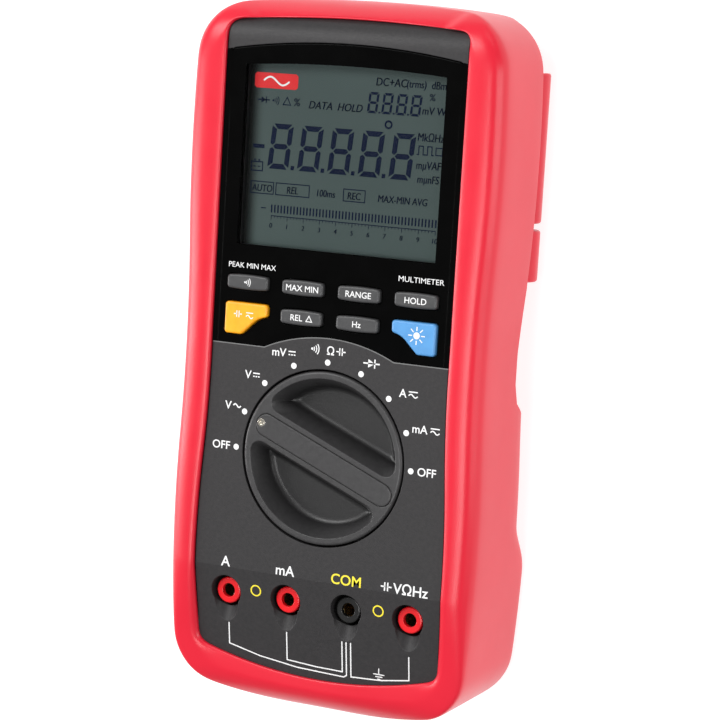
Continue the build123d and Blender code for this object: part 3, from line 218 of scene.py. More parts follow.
def lens_material():
    """Gloss black, clear inside the display's window."""
    made = surface("lens", grey(0.0012), grey(0.0018), grain=120, rough=(0.05, 0.08), bump=0.0,
                   soft_edge=0.25, Specular_IOR_Level=0.06)
    tree = made.node_tree
    black = tree.nodes["Principled BSDF"]
    place = tree.nodes.new("ShaderNodeTexCoord")
    axes = tree.nodes.new("ShaderNodeSeparateXYZ")
    tree.links.new(place.outputs["Object"], axes.inputs["Vector"])

    def maths(operation, first, second):
        made_node = tree.nodes.new("ShaderNodeMath")
        made_node.operation = operation
        for socket, value in zip(made_node.inputs, (first, second)):
            if isinstance(value, float):
                socket.default_value = value
            else:
                tree.links.new(value, socket)
        return made_node.outputs["Value"]

    # The window's top edge is a shallow arch
    across = maths("ABSOLUTE", axes.outputs["X"], 0.0)
    arch = maths("MULTIPLY", maths("POWER", across, 2.0), WINDOW_ARCH)
    top = maths("ADD", arch, WINDOW_TOP * MM)
    inside = maths("LESS_THAN", across, WINDOW_HALF * MM)
    above = maths("GREATER_THAN", axes.outputs["Y"], WINDOW_FOOT * MM)
    below = maths("LESS_THAN", axes.outputs["Y"], top)
    mask = maths("MULTIPLY", maths("MULTIPLY", inside, above), below)
    clear = tree.nodes.new("ShaderNodeBsdfTransparent")
    clear.inputs["Color"].default_value = (0.96, 0.97, 0.97, 1.0)
    shine = node(tree, "ShaderNodeBsdfGlossy", Roughness=0.04)
    fresnel = node(tree, "ShaderNodeFresnel", IOR=1.18)
    pane = tree.nodes.new("ShaderNodeMixShader")
    tree.links.new(fresnel.outputs["Fac"], pane.inputs["Fac"])
    tree.links.new(clear.outputs["BSDF"], pane.inputs[1])
    tree.links.new(shine.outputs["BSDF"], pane.inputs[2])
    both = tree.nodes.new("ShaderNodeMixShader")
    tree.links.new(mask, both.inputs["Fac"])
    tree.links.new(black.outputs["BSDF"], both.inputs[1])
    tree.links.new(pane.outputs["Shader"], both.inputs[2])
    tree.links.new(both.outputs["Shader"], tree.nodes["Material Output"].inputs["Surface"])
    return made


def paint_shade_along(name, axis, start, end, low):
    """Paints shade into a material's colour: darker smoothly towards start, measured along one of
    the object's axes in mm.
    """
    tree = MATERIALS[name].node_tree
    shader = tree.nodes["Principled BSDF"]
    colour = shader.inputs["Base Color"].links[0].from_socket
    place = tree.nodes.new("ShaderNodeTexCoord")
    axes = tree.nodes.new("ShaderNodeSeparateXYZ")
    tree.links.new(place.outputs["Object"], axes.inputs["Vector"])
    level = node(tree, "ShaderNodeMapRange", From_Min=start * MM, From_Max=end * MM,
                 To_Min=low, To_Max=1.0)
    level.interpolation_type = "SMOOTHSTEP"
    tree.links.new(axes.outputs[axis], level.inputs["Value"])
    shaded = tree.nodes.new("ShaderNodeMixRGB")
    shaded.blend_type = "MULTIPLY"
    shaded.inputs["Fac"].default_value = 1.0
    tree.links.new(colour, shaded.inputs["Color1"])
    tree.links.new(level.outputs["Result"], shaded.inputs["Color2"])
    tree.links.new(shaded.outputs["Color"], shader.inputs["Base Color"])


MATERIALS["lens"] = lens_material()
# Painted shade: the finger scoops' floors are darkened as they lie in shade, and the display's left
# edge carries the painted shadow of the frame that stands over it
# Painted shade in the knob's finger scoops, darker towards their floors
paint_shade_along("knob_plastic", "Z", 33.0, 41.0, 0.3)
# Painted shadow of the frame along the display's left edge
paint_shade_along("lcd_glass", "X", -30.0, -25.4, 0.03)

for entry in frame["record"]["subparts"]:
    shown = frame["nodes"][entry["node"]]
    shown.data.materials.clear()
    shown.data.materials.append(MATERIALS[entry["material_slot"]])

# ---- Mesh helpers -------------------------------------------------------------------------


def add_piece(name, verts, faces, material, body, sharp=None):
    """A mesh piece that rides on a body. Points are in millimetres."""
    mesh = bpy.data.meshes.new(name)
    mesh.from_pydata([[c * MM for c in v] for v in verts], [], faces)
    mesh.update()
    mesh.materials.append(MATERIALS[material])
    made = bpy.data.objects.new(name, mesh)
    bpy.context.scene.collection.objects.link(made)
    if sharp is not None:
        smooth_piece(made, sharp)
    if body:
        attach(made, body)
    return made


def smooth_piece(piece, degrees):
    """Smooth shading, with edges sharper than the angle kept crisp."""
    mesh = piece.data
    work = bmesh.new()
    work.from_mesh(mesh)
    bmesh.ops.recalc_face_normals(work, faces=work.faces)
    work.to_mesh(mesh)
    work.free()
    for face in mesh.polygons:
        face.use_smooth = True
    mesh.set_sharp_from_angle(angle=math.radians(degrees))


def applied(piece):
    """The piece's mesh with its modifiers applied."""
    graph = bpy.context.evaluated_depsgraph_get()
    mesh = bpy.data.meshes.new_from_object(piece.evaluated_get(graph))
    piece.modifiers.clear()
    piece.data = mesh
    return piece


def arc_through(a, m, b, count):
    """Points on the arc from a through m to b."""
    ax, ay = a
    bx, by = b
    mx, my = m
    d = 2 * (ax * (my - by) + mx * (by - ay) + bx * (ay - my))
    sa, sm, sb = ax * ax + ay * ay, mx * mx + my * my, bx * bx + by * by
    cx = (sa * (my - by) + sm * (by - ay) + sb * (ay - my)) / d
    cy = (sa * (bx - mx) + sm * (ax - bx) + sb * (mx - ax)) / d
    radius = math.hypot(ax - cx, ay - cy)
    start = math.atan2(ay - cy, ax - cx)
    turn = math.remainder(math.atan2(by - cy, bx - cx) - start, 2 * math.pi)
    middle = math.remainder(math.atan2(my - cy, mx - cx) - start, 2 * math.pi)
    if middle * turn < 0:
        turn -= math.copysign(2 * math.pi, turn)
    return [
        (cx + radius * math.cos(start + turn * i / count),
         cy + radius * math.sin(start + turn * i / count))
        for i in range(count + 1)
    ]


def tangent_arc(points, b, count):
    """Goes on from the end of points to b, without a kink."""
    a = points[-1]
    tx, ty = a[0] - points[-2][0], a[1] - points[-2][1]
    length = math.hypot(tx, ty)
    nx, ny = -ty / length, tx / length
    dx, dy = b[0] - a[0], b[1] - a[1]
    side = nx * dx + ny * dy
    if abs(side) < 1e-6:
        return [(a[0] + dx * i / count, a[1] + dy * i / count) for i in range(count + 1)]
    radius = (dx * dx + dy * dy) / (2 * side)
    cx, cy = a[0] + nx * radius, a[1] + ny * radius
    start = math.atan2(a[1] - cy, a[0] - cx)
    turn = math.remainder(math.atan2(b[1] - cy, b[0] - cx) - start, 2 * math.pi)
    return [
        (cx + abs(radius) * math.cos(start + turn * i / count),
         cy + abs(radius) * math.sin(start + turn * i / count))
        for i in range(count + 1)
    ]


def walk(loop, spacing):
    """The closed loop with its points respaced evenly."""
    points = np.array(loop + loop[:1], float)
    steps = np.hypot(*np.diff(points, axis=0).T)
    keep = np.concatenate([[True], steps > 1e-6])
    points = points[keep]
    along = np.concatenate([[0.0], np.cumsum(np.hypot(*np.diff(points, axis=0).T))])
    count = max(8, int(round(along[-1] / spacing)))
    at = np.arange(count) * along[-1] / count
    return np.stack([np.interp(at, along, points[:, i]) for i in (0, 1)], axis=1)


def round_corners(loop, corners, reach):
    """Rounds the loop at each corner, starting the curve at reach from it."""
    loop = np.array(loop)
    gap = np.min(np.stack([np.hypot(*(loop - c).T) for c in corners]), axis=0)
    out = []
    index = 0
    start = int(np.argmax(gap))
    order = list(range(start, len(loop))) + list(range(start))
    while index < len(order):
        point = loop[order[index]]
        if gap[order[index]] >= reach:
            out.append(tuple(point))
            index += 1
            continue
        inside = index
        while inside < len(order) and gap[order[inside]] < reach:
            inside += 1
        first = np.array(out[-1])
        last = loop[order[inside % len(order)]]
        corner = min(corners, key=lambda c: math.hypot(*(point - np.array(c))))
        corner = np.array(corner)
        pull = 0.5523
        for i in range(1, 12):
            t = i / 12
            b = first + (corner - first) * pull
            c = last + (corner - last) * pull
            spot = ((1 - t) ** 3 * first + 3 * (1 - t) ** 2 * t * b
                    + 3 * (1 - t) * t * t * c + t ** 3 * last)
            out.append(tuple(spot))
        index = inside
    return out


def mirrored_loop(right):
    """A closed loop from its right half, which runs from the top centre to the bottom centre."""
    left = [(-x, y) for x, y in reversed(right)]
    return right + left[1:-1]


def cast(loop, origin, direction):
    """The farthest point where a ray from inside the loop crosses it."""
    a = np.array(loop)
    b = np.roll(a, -1, axis=0)
    e = b - a
    o = np.array(origin)
    d = np.array(direction)
    denominator = d[0] * e[:, 1] - d[1] * e[:, 0]
    denominator[np.abs(denominator) < 1e-12] = 1e-12
    w = a - o
    t = (w[:, 0] * e[:, 1] - w[:, 1] * e[:, 0]) / denominator
    s = (w[:, 0] * d[1] - w[:, 1] * d[0]) / denominator
    hit = t[(t > 0) & (s >= -1e-6) & (s <= 1 + 1e-6)]
    return o + d * hit.max()


# ---- The boot -----------------------------------------------------------------------------


def boot_outline():
    high, foot_end = (46.4, 98.0), (44.9, -94.5)
    top = arc_through((0, BOOT_END), (24.0, 100.2), high, 40)
    side = arc_through(high, (47.8, 64.0), (47.15, 32.0), 60)
    side += tangent_arc(side, (47.05, -24.0), 50)[1:]
    side += tangent_arc(side, foot_end, 70)[1:]
    foot = arc_through(foot_end, (23.0, -99.4), (0, -BOOT_END), 40)
    loop = mirrored_loop(top + side[1:] + foot[1:])
    loop = [tuple(p) for p in walk(loop, 0.5)]
    loop = round_corners(loop, [high, (-high[0], high[1])], 13.0)
    return round_corners(loop, [foot_end, (-foot_end[0], foot_end[1])], 10.5)


def panel_outline(grow):
    top = arc_through((0, 95.2 + grow), (18.0, 94.8 + grow), (36.4 + grow, 93.6 + grow), 30)
    side = [(36.4 + grow, 93.6 + grow), (36.4 + grow, 0.0)]
    side += tangent_arc(side, (37.5 + grow, -30.0), 20)[1:]
    side += tangent_arc(side, (37.3 + grow, -84.6 - grow), 40)[1:]
    foot = arc_through(
        (37.3 + grow, -84.6 - grow), (19.0, -89.15 - grow), (0, -90.7 - grow), 30)
    loop = mirrored_loop(top + side[1:] + foot[1:])
    loop = [tuple(p) for p in walk(loop, 0.5)]
    loop = round_corners(loop, [(36.4 + grow, 93.6 + grow), (-36.4 - grow, 93.6 + grow)], 2.6)
    return round_corners(loop, [(37.3 + grow, -84.6 - grow), (-37.3 - grow, -84.6 - grow)], 2.2)


def boot_cap():
    """The boot's side view: Y and the height of its top there."""
    high = arc_through((86.0, RAIL_Z), (96.5, 38.6), (BOOT_END, 29.0), 40)
    toe_z = RAIL_Z - (CREASE_Y + 92.0) * FACE_SLOPE
    low = arc_through((-92.0, toe_z), (-98.0, toe_z - 3.0), (-BOOT_END, 28.0), 40)
    return sorted(low + [(CREASE_Y, RAIL_Z)] + high)


CAP = np.array(boot_cap())


def softly_lower(a, b, blur=0.9):
    """The lower of two heights, with the corner between them rounded."""
    low = min(a, b)
    return low - blur * math.log(math.exp((low - a) / blur) + math.exp((low - b) / blur))


def boot_section(outer, lip, rim):
    """One closed slice of the boot, from the lip over the rail, down the side and back inside."""
    inward = lip - outer
    width = float(np.hypot(*inward))
    inward = inward / width
    ring = []

    def put(q, z):
        spot = outer + inward * q
        ring.append((spot[0], spot[1], z))

    def cap_at(q):
        return float(np.interp(outer[1] + inward[1] * q, CAP[:, 0], CAP[:, 1]))

    lip_z = case_z(lip[1]) + 0.95
    # The bar across the display end lies lower than the rails, past a crease at each end
    bar = min(1.0, max(0.0, (BAR_END - abs(outer[0])) / BAR_STEP_W)) if outer[1] > 90.0 else 0.0
    bar_drop = BAR_DROP * bar * bar * (3 - 2 * bar)
    crest_q = min(RAIL_ROUND + 0.4, width - 0.4)
    crest_z = softly_lower(RAIL_Z, cap_at(crest_q)) - bar_drop
    put(width, lip_z - 2.6)
    put(width, lip_z - 0.55)
    put(width - 0.06, lip_z - 0.18)
    put(width - 0.35, lip_z + 0.02)
    for share in (0.25, 0.5, 0.75):
        reach = width - (width - crest_q) * share
        put(reach, lip_z + (crest_z - lip_z) * (1 - (1 - share) ** 2))
    put(crest_q, crest_z)
    for degrees in (75, 60, 45, 30, 15, 0):
        angle = math.radians(degrees)
        q = RAIL_ROUND * (1 - math.cos(angle))
        q = min(q, crest_q - 0.05)
        z = RAIL_Z - RAIL_ROUND + RAIL_ROUND * math.sin(angle)
        put(q, softly_lower(z, cap_at(q)) - bar_drop)
    side_top = ring[-1][2]
    # The back edge is round at the foot and turns into a steep bevel towards the waist
    waist = min(1.0, max(0.0, (outer[1] - BEVEL_FROM) / (BEVEL_TO - BEVEL_FROM)))
    waist = waist * waist * (3 - 2 * waist)
    across = BACK_ROUND + (BEVEL_ACROSS - BACK_ROUND) * waist
    rise = BACK_ROUND + (BEVEL_RISE - BACK_ROUND) * waist
    for share in (0.25, 0.5, 0.75):
        put(0, side_top + (rise - side_top) * share)
    for step in range(6):
        angle = math.radians(18 * step)
        along = (1 - waist) * (1 - math.cos(angle)) + waist * step / 5
        down = (1 - waist) * (1 - math.sin(angle)) + waist * (1 - step / 5)
        put(across * along, rise * down)
    flat = outer + inward * across
    for share in (0.3, 0.65, 0.97):
        spot = flat + (rim - flat) * share
        ring.append((spot[0], spot[1], 0.0))
    ring.append((rim[0], rim[1], 0.35))
    ring.append((rim[0], rim[1], 3.1))
    inner_top = min(lip_z - 2.6, side_top + 1.0)
    put(BOOT_WALL + 2.0, 3.2)
    put(BOOT_WALL, 5.2)
    put(BOOT_WALL, inner_top - 1.0)
    put(min(BOOT_WALL + 0.8, width - 0.3), inner_top)
    return ring


def build_boot():
    outline = walk(boot_outline(), 2.0)
    lips = panel_outline(0.35)
    low_y, high_y = -58.0, 60.0
    rings = []
    for outer in outline:
        origin = np.array((0.0, min(max(outer[1], low_y), high_y)))
        toward = outer - origin
        toward = toward / np.hypot(*toward)
        lip = cast(lips, origin, toward)
        # The window in the boot's back
        if outer[1] > high_y:
            rim = np.array((22.0 * toward[0], 34.0 + 2.0 * min(1.0, 3.0 * toward[1])))
        elif outer[1] < low_y:
            rim = np.array((22.0 * toward[0], -58.0 - 2.0 * min(1.0, -3.0 * toward[1])))
        else:
            share = (outer[1] - low_y) / (high_y - low_y)
            rim = np.array((math.copysign(22.0, outer[0]), low_y + share * 92.0))
        rings.append(boot_section(outer, lip, rim))
    count = len(rings[0])
    verts = [p for ring in rings for p in ring]
    faces = []
    for i in range(len(rings)):
        a, b = i * count, (i + 1) % len(rings) * count
        for j in range(count):
            k = (j + 1) % count
            faces.append((a + j, a + k, b + k, b + j))
    boot = add_piece("boot_shell", verts, faces, "boot_rubber", None, sharp=180)
    smooth = boot.modifiers.new("smooth", "SUBSURF")
    smooth.levels = 1
    smooth.render_levels = 1
    cutters = [corner_cutter(side) for side in (1, -1)]
    for cutter in cutters:
        cut = boot.modifiers.new("cut", "BOOLEAN")
        cut.operation = "DIFFERENCE"
        cut.solver = "EXACT"
        cut.object = cutter
    applied(boot)
    for cutter in cutters:
        bpy.data.objects.remove(cutter)
    smooth_piece(boot, 38)
    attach(boot, "meter")
    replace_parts(boot, "holster")
    return boot


# The corner cut: X across and share of the roof's height, then the roof's height along Y
CUT_SHAPE = ((28.5, 0.0), (28.8, 0.1), (30.5, 0.36), (33.5, 0.62), (37.0, 0.9), (39.0, 1.0))
CUT_ROOF = ((-14.4, 0.2), (-11.6, 9.0), (-8.5, 13.6), (-3.0, 15.5), (6.0, 15.5), (15.0, 14.2),
            (24.0, 12.8), (40.0, 12.5), (120.0, 12.5))
WALL_FOOT = ((-16.0, 1.0), (-14.0, 1.4))
WALL_HEAD = ((70.0, 12.5), (86.0, 12.5), (92.0, 12.5), (96.0, 12.5))
WALL_INSET = 2.0             # from the boot's side to the wall's outer edge
WALL_LOW_EDGE = 41.0         # the edge's X where the roof is still low
WALL_LIFT = 0.04             # keeps the wall clear of the cut's own surface


def side_faces(rows, count):
    """The faces between neighbouring rows of count points each."""
    faces = []
    for i in range(rows - 1):
        for j in range(count):
            k = (j + 1) % count
            a = i * count
            faces.append((a + j, a + k, a + count + k, a + count + j))
    return faces


def lofted(name, sections, material):
    """A closed piece through sections that all have the same number of points."""
    count = len(sections[0])
    verts = [point for section in sections for point in section]
    faces = [tuple(range(count))] + side_faces(len(sections), count)
    faces.append(tuple(range(len(verts) - 1, len(verts) - 1 - count, -1)))
    return add_piece(name, verts, faces, material, None, sharp=30)


def corner_cutter(side):
    """The long corner cut away at the back for the probe clips, with a sloping end."""
    sections = []
    for y, roof in CUT_ROOF:
        section = [(60.0, -8.0), (60.0, roof)]
        section += [(x, share * roof) for x, share in reversed(CUT_SHAPE[1:])]
        section.append((28.5, -8.0))
        sections.append([(side * x, y, z) for x, z in section])
    return lofted(f"cutter_{side}", sections, "boot_rubber")


def build_corner_wall(name, side, half_at):
    """The boot's wall over the corner cut, between its back and its side."""
    sections = []
    for y, roof in WALL_FOOT + CUT_ROOF[1:-1] + WALL_HEAD:
        edge = half_at(y) - WALL_INSET if roof > 8.0 else WALL_LOW_EDGE
        low = [(27.0, 0.6)] + [(x, share * roof + WALL_LIFT) for x, share in CUT_SHAPE[1:]]
        low.append((edge, roof + WALL_LIFT))
        low = [(min(x, edge), z) for x, z in low]
        high = [(x - 1.1, z + 1.3) for x, z in low[:-1]] + [(edge, low[-1][1] + 1.6)]
        sections.append([(side * x, y, z) for x, z in low + high[::-1]])
    wall = lofted(name, sections, "boot_rubber")
    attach(wall, "meter")


def clip_section():
    """The C shape of a probe clip, open towards the back."""
    middle = (CLIP_OUTER_R + CLIP_BORE_R) / 2
    half = (CLIP_OUTER_R - CLIP_BORE_R) / 2
    open_angle = math.degrees(math.asin((CLIP_MOUTH / 2 + half) / middle))
    points = []
    for i in range(37):
        angle = math.radians(-90 + open_angle + (360 - 2 * open_angle) * i / 36)
        points.append((CLIP_OUTER_R * math.cos(angle), CLIP_OUTER_R * math.sin(angle)))
    end = math.radians(270 - open_angle)
    for i in range(1, 6):
        angle = end + math.pi * i / 6
        points.append((middle * math.cos(end) + half * math.cos(angle),
                       middle * math.sin(end) + half * math.sin(angle)))
    for i in range(37):
        angle = math.radians(270 - open_angle - (360 - 2 * open_angle) * i / 36)
        points.append((CLIP_BORE_R * math.cos(angle), CLIP_BORE_R * math.sin(angle)))
    start = math.radians(-90 + open_angle)
    for i in range(1, 6):
        angle = start + math.pi + math.pi * i / 6
        points.append((middle * math.cos(start) + half * math.cos(angle),
                       middle * math.sin(start) + half * math.sin(angle)))
    return points


def build_clip(name, side, low, high):
    section = clip_section()
    count = len(section)
    slices = [(low, 0.55), (low + 0.25, 0.16), (low + 0.7, 0.0),
              (high - 0.7, 0.0), (high - 0.25, 0.16), (high, 0.55)]
    middle = (CLIP_OUTER_R + CLIP_BORE_R) / 2
    verts = []
    for y, shrink in slices:
        for x, z in section:
            r = math.hypot(x, z)
            thin = r + (middle - r) * shrink
            verts.append((side * CLIP_X + x * thin / r, y, CLIP_Z + z * thin / r))
    faces = side_faces(len(slices), count)
    # Each end is a strip of quads between the outer and the inner curve
    for base in (0, (len(slices) - 1) * count):
        for j in range(36):
            a, b = j, j + 1
            c, d = 77 - j, 76 - j
            faces.append((base + a, base + b, base + d, base + c))
        faces.append(tuple(base + j for j in range(36, 42)))
        faces.append(tuple(base + j for j in list(range(78, count)) + [0]) + (base + 77,))
    return add_piece(name, verts, faces, "boot_rubber", "meter", sharp=40)


build_boot()
RIGHT_EDGE = sorted((y, x) for x, y in boot_outline() if x > 20.0 and abs(y) < 99.0)


def half_width(y):
    return float(np.interp(y, *np.array(RIGHT_EDGE).T))


for side, word in ((1, "right"), (-1, "left")):
    for level, low, high in (("low", 25.5, 40.0), ("high", 42.0, 84.0)):
        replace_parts(build_clip(f"probe_clip_{word}_{level}", side, low, high), "probe_clips")
    build_corner_wall(f"corner_wall_{word}", side, half_width)

# ---- Printed marks ------------------------------------------------------------------------


class Print:
    """Flat printed shapes that are gathered into one mesh. Points are in millimetres."""

    def __init__(self, height):
        self.height = height
        self.verts = []
        self.faces = []

    def poly(self, points):
        base = len(self.verts)
        self.verts += [(x, y, self.height(y)) for x, y in points]
        self.faces.append(tuple(range(base, base + len(points))))

    def stroke(self, points, width, closed=False):
        """A line of even width along the points."""
        count = len(points)
        sides = []
        for i, (x, y) in enumerate(points):
            before = points[i - 1] if i or closed else points[i]
            after = points[(i + 1) % count] if i < count - 1 or closed else points[i]
            d1 = Vector((x - before[0], y - before[1]))
            d2 = Vector((after[0] - x, after[1] - y))
            d1 = d1.normalized() if d1.length else d2.normalized()
            d2 = d2.normalized() if d2.length else d1
            miter = (d1 + d2)
            miter = miter.normalized() if miter.length > 1e-6 else d1
            normal = Vector((-miter.y, miter.x))
            scale = width / 2 / max(0.5, abs(normal.dot(Vector((-d1.y, d1.x)))))
            sides.append(((x + normal.x * scale, y + normal.y * scale),
                          (x - normal.x * scale, y - normal.y * scale)))
        for i in range(count if closed else count - 1):
            a, b = sides[i], sides[(i + 1) % count]
            self.poly([a[0], a[1], b[1], b[0]])

    def disc(self, x, y, r):
        self.poly([(x + r * math.cos(math.tau * i / 28), y + r * math.sin(math.tau * i / 28))
                   for i in range(28)])

    def arc(self, x, y, r, start, end, width):
        steps = max(4, int(abs(end - start) / 12))
        angles = [math.radians(start + (end - start) * i / steps) for i in range(steps + 1)]
        self.stroke([(x + r * math.cos(a), y + r * math.sin(a)) for a in angles], width)

    def box(self, x0, y0, x1, y1, width):
        self.stroke([(x0, y0), (x1, y0), (x1, y1), (x0, y1)], width, closed=True)

    def text(self, words, x, y, high, bold=0.0, shear=0.0, squeeze=1.0, at="CENTER"):
        """Words whose capitals are high tall, centred on y."""
        curve = bpy.data.curves.new("words", "FONT")
        curve.body = words
        curve.size = 1.0
        curve.offset = bold
        curve.shear = shear
        curve.resolution_u = 4
        holder = bpy.data.objects.new("words", curve)
        bpy.context.scene.collection.objects.link(holder)
        graph = bpy.context.evaluated_depsgraph_get()
        graph.update()
        mesh = bpy.data.meshes.new_from_object(holder.evaluated_get(graph))
        spots = np.array([v.co[:2] for v in mesh.vertices])
        if len(spots):
            scale = high / CAPITAL
            left, right = spots[:, 0].min(), spots[:, 0].max()
            middle = {"CENTER": (left + right) / 2, "LEFT": left, "RIGHT": right}[at]
            base = len(self.verts)
            for sx, sy in spots:
                py = y + (sy - CAPITAL / 2) * scale
                self.verts.append((x + (sx - middle) * scale * squeeze, py, self.height(py)))
            self.faces += [tuple(base + i for i in f.vertices) for f in mesh.polygons]
        bpy.data.objects.remove(holder)
        bpy.data.curves.remove(curve)
        bpy.data.meshes.remove(mesh)

    def place(self, name, material, body, slot):
        return add_piece(name, self.verts, self.faces, material, body)


CAPITAL = 0.72               # height of a capital in the built-in font, per unit of size
PRINT_LIFT = 0.03


def on_face(y):
    return face_z(y) + PRINT_LIFT


def at_height(z):
    return lambda y: z


def wave(x, y, width, high):
    """A one-period wave, for the alternating current mark."""
    return [(x + width * (i / 16 - 0.5), y + high / 2 * math.sin(math.tau * i / 16))
            for i in range(17)]


def direct_mark(ink, x, y, width, line):
    """The direct current mark: a line over a dashed line."""
    ink.stroke([(x - width / 2, y + 0.45), (x + width / 2, y + 0.45)], line)
    dash = width / 4.2
    for i in (-1, 0, 1):
        mid = x + i * width * 0.37
        ink.stroke([(mid - dash / 2, y - 0.45), (mid + dash / 2, y - 0.45)], line)


def both_mark(ink, x, y, width, line):
    """The mark for direct and alternating current."""
    ink.stroke([(x - width / 2, y + 0.55), (x + width / 2, y + 0.55)], line)
    ink.stroke(wave(x, y - 0.55, width, 0.9), line)


def sound_mark(ink, x, y, scale, line):
    """A dot with three arcs, for the buzzer."""
    ink.disc(x - 1.1 * scale, y, 0.34 * scale)
    for r in (0.9, 1.6, 2.3):
        ink.arc(x - 1.3 * scale, y, r * scale, -38, 38, line)


def diode_mark(ink, x, y, scale, line):
    ink.stroke([(x - 2.0 * scale, y), (x + 2.0 * scale, y)], line)
    ink.poly([(x - 0.8 * scale, y - 0.95 * scale), (x + 0.8 * scale, y),
              (x - 0.8 * scale, y + 0.95 * scale)])
    ink.stroke([(x + 0.8 * scale, y - 1.0 * scale), (x + 0.8 * scale, y + 1.0 * scale)], line)


def capacitor_mark(ink, x, y, scale, line):
    for side in (-1, 1):
        ink.stroke([(x + side * 1.5 * scale, y), (x + side * 0.42 * scale, y)], line)
        ink.stroke([(x + side * 0.42 * scale, y - 1.1 * scale),
                    (x + side * 0.42 * scale, y + 1.1 * scale)], line)


# Dial: dots, and the legend of each position
dial = Print(on_face)
for step in range(9):
    turn = math.radians(180 - 22.5 * step)
    dial.disc(DIAL_R * math.cos(turn), KNOB_Y + DIAL_R * math.sin(turn), 0.85)
BOLD = 0.012


def dial_words(words, x, y, high=2.35, **more):
    dial.text(words, x, KNOB_Y + y, high, bold=BOLD, **more)


dial_words("OFF", -32.0, 0.2)
dial_words("V", -30.4, 11.8)
dial.stroke(wave(-27.6, KNOB_Y + 11.8, 2.4, 0.9), 0.38)
dial_words("V", -24.6, 21.2)
direct_mark(dial, -22.0, KNOB_Y + 21.2, 2.1, 0.36)
dial_words("mV", -15.2, 28.6)
direct_mark(dial, -11.2, KNOB_Y + 28.6, 2.2, 0.36)
sound_mark(dial, -3.9, KNOB_Y + 30.6, 1.0, 0.3)
dial_words("Ω", 0.7, 30.6)
capacitor_mark(dial, 3.9, KNOB_Y + 30.6, 0.95, 0.34)
diode_mark(dial, 13.4, KNOB_Y + 28.4, 1.25, 0.4)
dial_words("A", 23.4, 21.4)
both_mark(dial, 26.5, KNOB_Y + 21.4, 2.7, 0.34)
dial_words("mA", 29.2, 12.0)
both_mark(dial, 33.7, KNOB_Y + 12.0, 2.7, 0.34)
dial_words("OFF", 32.0, 0.2)

# Sockets: names, and brackets that join them along the bottom
dial_words("A", -28.6, -33.3, high=3.0)
dial_words("mA", -9.5, -33.3, high=3.0)
capacitor_mark(dial, 22.0, KNOB_Y - 33.3, 1.1, 0.4)
dial_words("VΩHz", 29.4, -33.3, high=3.0)
FACE_LINE = 0.36
dial.stroke([(-27.9, -78.2), (-27.9, -84.6), (-18.0, -86.9), (-6.0, -88.4), (8.6, -88.8),
             (9.5, -88.2), (9.5, -78.2)], FACE_LINE)
dial.stroke([(-9.3, -78.2), (-9.3, -86.6), (0.0, -87.2), (8.2, -87.3), (8.2, -78.2)], FACE_LINE)
dial.stroke([(10.9, -78.2), (10.9, -88.4), (20.0, -87.9), (28.9, -86.4), (28.9, -79.4)],
            FACE_LINE)
dial.stroke([(19.6, -84.4), (19.6, -86.2)], 0.3)
for row, half in enumerate((1.7, 1.1, 0.5)):
    dial.stroke([(19.6 - half, -86.2 - 0.7 * row), (19.6 + half, -86.2 - 0.7 * row)], 0.3)
dial.place("dial_print", "print_white", "meter", "case_plastic")

common = Print(on_face)
common.text("COM", 9.6, KNOB_Y - 33.3, 3.0, bold=BOLD)
for mark_x in (-18.9, 19.6):
    common.arc(mark_x, KNOB_Y - 40.8, 1.5, 0, 360, 0.4)
common.place("common_print", "print_yellow", "meter", "case_plastic")

# Keys: one printed legend each
KEY_PRINT_Z = KEY_TOP_Z + PRINT_LIFT


for key, words in (("key_max_min", "MAX MIN"), ("key_range", "RANGE"), ("key_hold", "HOLD"),
                   ("key_hertz", "Hz")):
    low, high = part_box(key)
    middle = (low + high) / 2 / MM
    legend = Print(at_height(KEY_PRINT_Z))
    legend.text(words, middle.x, middle.y, 1.75, bold=0.008)
    legend.place(f"{key}_print", "print_white", key, "key_grey")

legend = Print(at_height(KEY_PRINT_Z))
sound_mark(legend, -25.7, 20.7, 0.8, 0.22)
legend.place("key_buzzer_print", "print_white", "key_buzzer", "key_grey")
legend = Print(at_height(KEY_PRINT_Z))
legend.text("REL", -9.9, 12.4, 1.75, bold=0.008)
legend.stroke([(-6.9, 11.6), (-5.1, 11.6), (-6.0, 13.2)], 0.24, closed=True)
legend.place("key_relative_print", "print_white", "key_relative", "key_grey")
legend = Print(at_height(KEY_PRINT_Z))
legend.disc(26.9, 11.2, 0.95)
for step in range(8):
    turn = math.radians(45 * step)
    legend.stroke([(26.9 + 1.35 * math.cos(turn), 11.2 + 1.35 * math.sin(turn)),
                   (26.9 + 2.5 * math.cos(turn), 11.2 + 2.5 * math.sin(turn))], 0.3)
legend.place("key_backlight_print", "print_white", "key_backlight", "key_blue")
legend = Print(at_height(KEY_PRINT_Z))
capacitor_mark(legend, -28.3, 11.6, 0.85, 0.28)
both_mark(legend, -24.6, 11.6, 2.2, 0.28)
legend.place("key_select_print", "print_white", "key_select", "key_yellow")

# Lens: small words above the keys
lens_print = Print(at_height(FACE_Z + PRINT_LIFT))
lens_print.text("PEAK MIN MAX", -32.6, 25.4, 1.55, squeeze=1.02, at="LEFT")
lens_print.text("MULTIMETER", 33.6, 26.3, 1.55, squeeze=1.1, at="RIGHT")
lens_print.place("lens_print", "print_white", "meter", "lens")

# The gloss black runs on to the boot's lip on both sides; along its lower edge a pale line is a
# painted highlight, where the case's raised edge catches the light
lens_sides = Print(at_height(FACE_Z + 0.02))
for side in (-1, 1):
    lens_sides.poly([(side * x, y) for x, y in (
        (35.0, 3.0), (36.6, 3.0), (36.6, 85.5), (35.0, 85.9))])
lens_sides.place("lens_sides", "lens", "meter", "lens")
